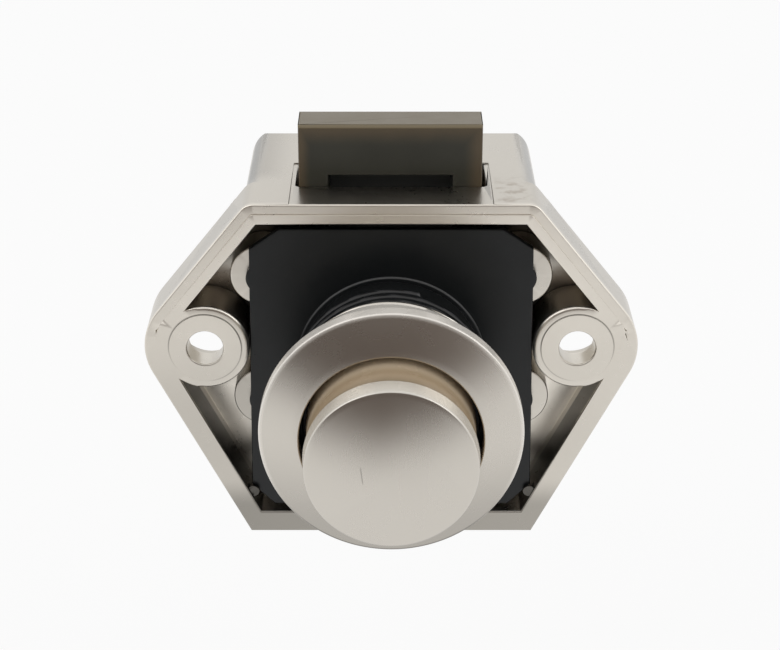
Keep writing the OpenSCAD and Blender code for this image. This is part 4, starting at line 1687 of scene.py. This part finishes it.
@dataclass
class Studio:
    """Camera, soft lamps, pale surround, floor and the dark card above the camera."""

    camera_at: Point = (-0.147, -215.68, 105.0)
    look_down: float = 24.706
    focal_px: float = 1931.4
    image_px: float = 780.0
    floor_z: float = -62.0
    floor_half: float = 3000.0
    floor_glow: float = 0.86
    card_colour: Colour = (0.146, 0.121, 0.108)
    card_r: float = 700.0
    card_low: float = -27.0
    card_full: float = -4.0
    card_top: float = 95.0
    card_side: float = 62.0
    card_fade: float = 22.0
    card_turn: float = -5.0
    card_droop: float = 4.0
    card_rise: float = 9.0
    card_rows: int = 60
    card_columns: int = 48
    surround: float = 0.72
    lamps: tuple[tuple[str, Point, float, float], ...] = (
        ("lamp_left", (-700, -500, 800), 700, 1.6),
        ("lamp_right", (800, -350, 650), 700, 1.2),
        ("lamp_back", (0, 900, 700), 900, 0.3),
    )

    def camera(self) -> None:
        """Puts the camera where the photograph was taken from."""
        data = bpy.data.cameras.new("camera")
        data.sensor_width = 36.0
        data.lens = self.focal_px / self.image_px * data.sensor_width
        data.clip_start, data.clip_end = 0.01, 20.0
        made = linked("camera", data)
        made.location = Vector(self.camera_at) * MM
        made.rotation_euler = (math.radians(90 - self.look_down), 0, 0)
        bpy.context.scene.camera = made

    def world(self) -> None:
        """White surround for what is seen, soft light for the rest."""
        world = bpy.data.worlds.new("surround")
        world.use_nodes = True
        bpy.context.scene.world = world
        nodes = Nodes(world.node_tree)
        light = nodes.tree.nodes["Background"]
        light.inputs["Color"].default_value = WHITE
        light.inputs["Strength"].default_value = self.surround
        white = nodes.node("ShaderNodeBackground", None, {"Color": WHITE, "Strength": 1.0})
        nodes.show(nodes.blend(nodes.seen(), light.outputs[0], white.outputs[0]), "World Output")

    def lamp(self, name: str, at: Point, size: float, power: float) -> None:
        """Adds one soft lamp that points at the lock.

        Args:
            name: its name.
            at: its place in millimetres.
            size: its side in millimetres.
            power: its power in watts.
        """
        data = bpy.data.lights.new(name, "AREA")
        data.shape = "SQUARE"
        data.size = size * MM
        data.energy = power
        made = linked(name, data)
        made.location = Vector(at) * MM
        made.rotation_mode = "QUATERNION"
        made.rotation_quaternion = (-Vector(at)).to_track_quat("-Z", "Y")

    def floor(self) -> bpy.types.Object:
        """Makes the pale floor below the lock, open from below.

        Returns:
            The floor.
        """
        mesh = bpy.data.meshes.new("floor")
        half, z = self.floor_half * MM, self.floor_z * MM
        corners = [(-half, -half, z), (half, -half, z), (half, half, z), (-half, half, z)]
        mesh.from_pydata(corners, [], [(0, 1, 2, 3)])
        made = linked("floor", mesh)
        shader = Shader("pale_floor")
        shader.finish({"Roughness": 0.9}, Base_Color=(0.9, 0.9, 0.9, 1.0))
        glow = shader.node("ShaderNodeEmission", None, {"Color": WHITE, "Strength": 1.0})
        clear = shader.node("ShaderNodeBsdfTransparent")
        behind = Value(shader, shader.node("ShaderNodeNewGeometry").outputs["Backfacing"])
        lit = shader.blend(shader.seen() * self.floor_glow, shader.principled.outputs[0], glow.outputs[0])
        shader.show(shader.blend(behind, lit, clear.outputs[0]))
        made.data.materials.append(shader.material)
        return made

    def card(self) -> bpy.types.Object:
        """Makes the dark card in front, curved up from the floor, which the polished faces mirror.

        Returns:
            The card, which the camera does not see and which casts no shadow.
        """
        points = []
        for j in range(self.card_rows + 1):
            lift = self.card_low + (self.card_top - self.card_low) * j / self.card_rows
            e = math.radians(lift)
            above_floor = (1.0 + self.floor_z) / min(math.sin(e), -0.01)
            reach = min(self.card_r, above_floor) if lift < 0 else self.card_r
            for i in range(self.card_columns + 1):
                a = math.radians(self.card_side * (2 * i / self.card_columns - 1))
                ray = Vector((math.sin(a) * math.cos(e), -math.cos(a) * math.cos(e), math.sin(e)))
                points.append(ray * reach * MM)
        row = self.card_columns + 1
        faces = [(j * row + i, j * row + i + 1, (j + 1) * row + i + 1, (j + 1) * row + i)
                 for j in range(self.card_rows) for i in range(self.card_columns)]
        mesh = bpy.data.meshes.new("dark_card")
        mesh.from_pydata(points, [], faces)
        made = linked("dark_card", mesh)
        shader = Shader("dark_card_cloth")
        x, y, z = shader.millimetres()
        lift = z.angle_from(x.across(y)) * math.degrees(1)
        turn = x.angle_from(0.0 - y) * math.degrees(1) - self.card_turn
        lower = lift - turn.size().step(0.0, 13.0) * self.card_droop
        lower = lower - turn.size().step(14.0, 40.0) * self.card_rise
        solid = lower.step(self.card_low, self.card_full) * lift.step(55.0, 30.0)
        solid = solid * turn.size().step(self.card_side, self.card_side - self.card_fade)
        dark = shader.node("ShaderNodeEmission", None, {"Color": rgba(self.card_colour), "Strength": 1.0})
        clear = shader.node("ShaderNodeBsdfTransparent")
        shader.show(shader.blend(solid, clear.outputs[0], dark.outputs[0]))
        made.data.materials.append(shader.material)
        made.visible_camera = False
        made.visible_shadow = False
        made.visible_diffuse = False
        return made

    def build(self) -> None:
        """Sets up everything round the lock."""
        bpy.context.scene.view_settings.view_transform = "Standard"
        self.camera()
        self.world()
        for name, at, size, power in self.lamps:
            self.lamp(name, at, size, power)
        self.floor()
        self.card()


def clear_scene() -> None:
    """Removes what Blender starts with."""
    for thing in list(bpy.data.objects):
        bpy.data.objects.remove(thing)


def main() -> None:
    """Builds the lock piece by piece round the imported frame."""
    logging.basicConfig(level=logging.INFO, format="%(name)s: %(message)s")
    clear_scene()
    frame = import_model()
    nodes = frame["nodes"]
    paints = Paints()
    made: list[bpy.types.Object] = []
    made += Housing().build(nodes, paints)
    made += CoverPlate().build(nodes, paints)
    made += Rosette().build(paints)
    made += Button().build(nodes, paints)
    made += Bolt().build(nodes, paints)
    made += Springs().build(nodes, paints)
    for piece in made:
        LOG.info("%s: %d faces", piece.name, len(piece.data.polygons))
    Studio().build()
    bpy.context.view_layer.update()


if __name__ == "__main__":
    main()
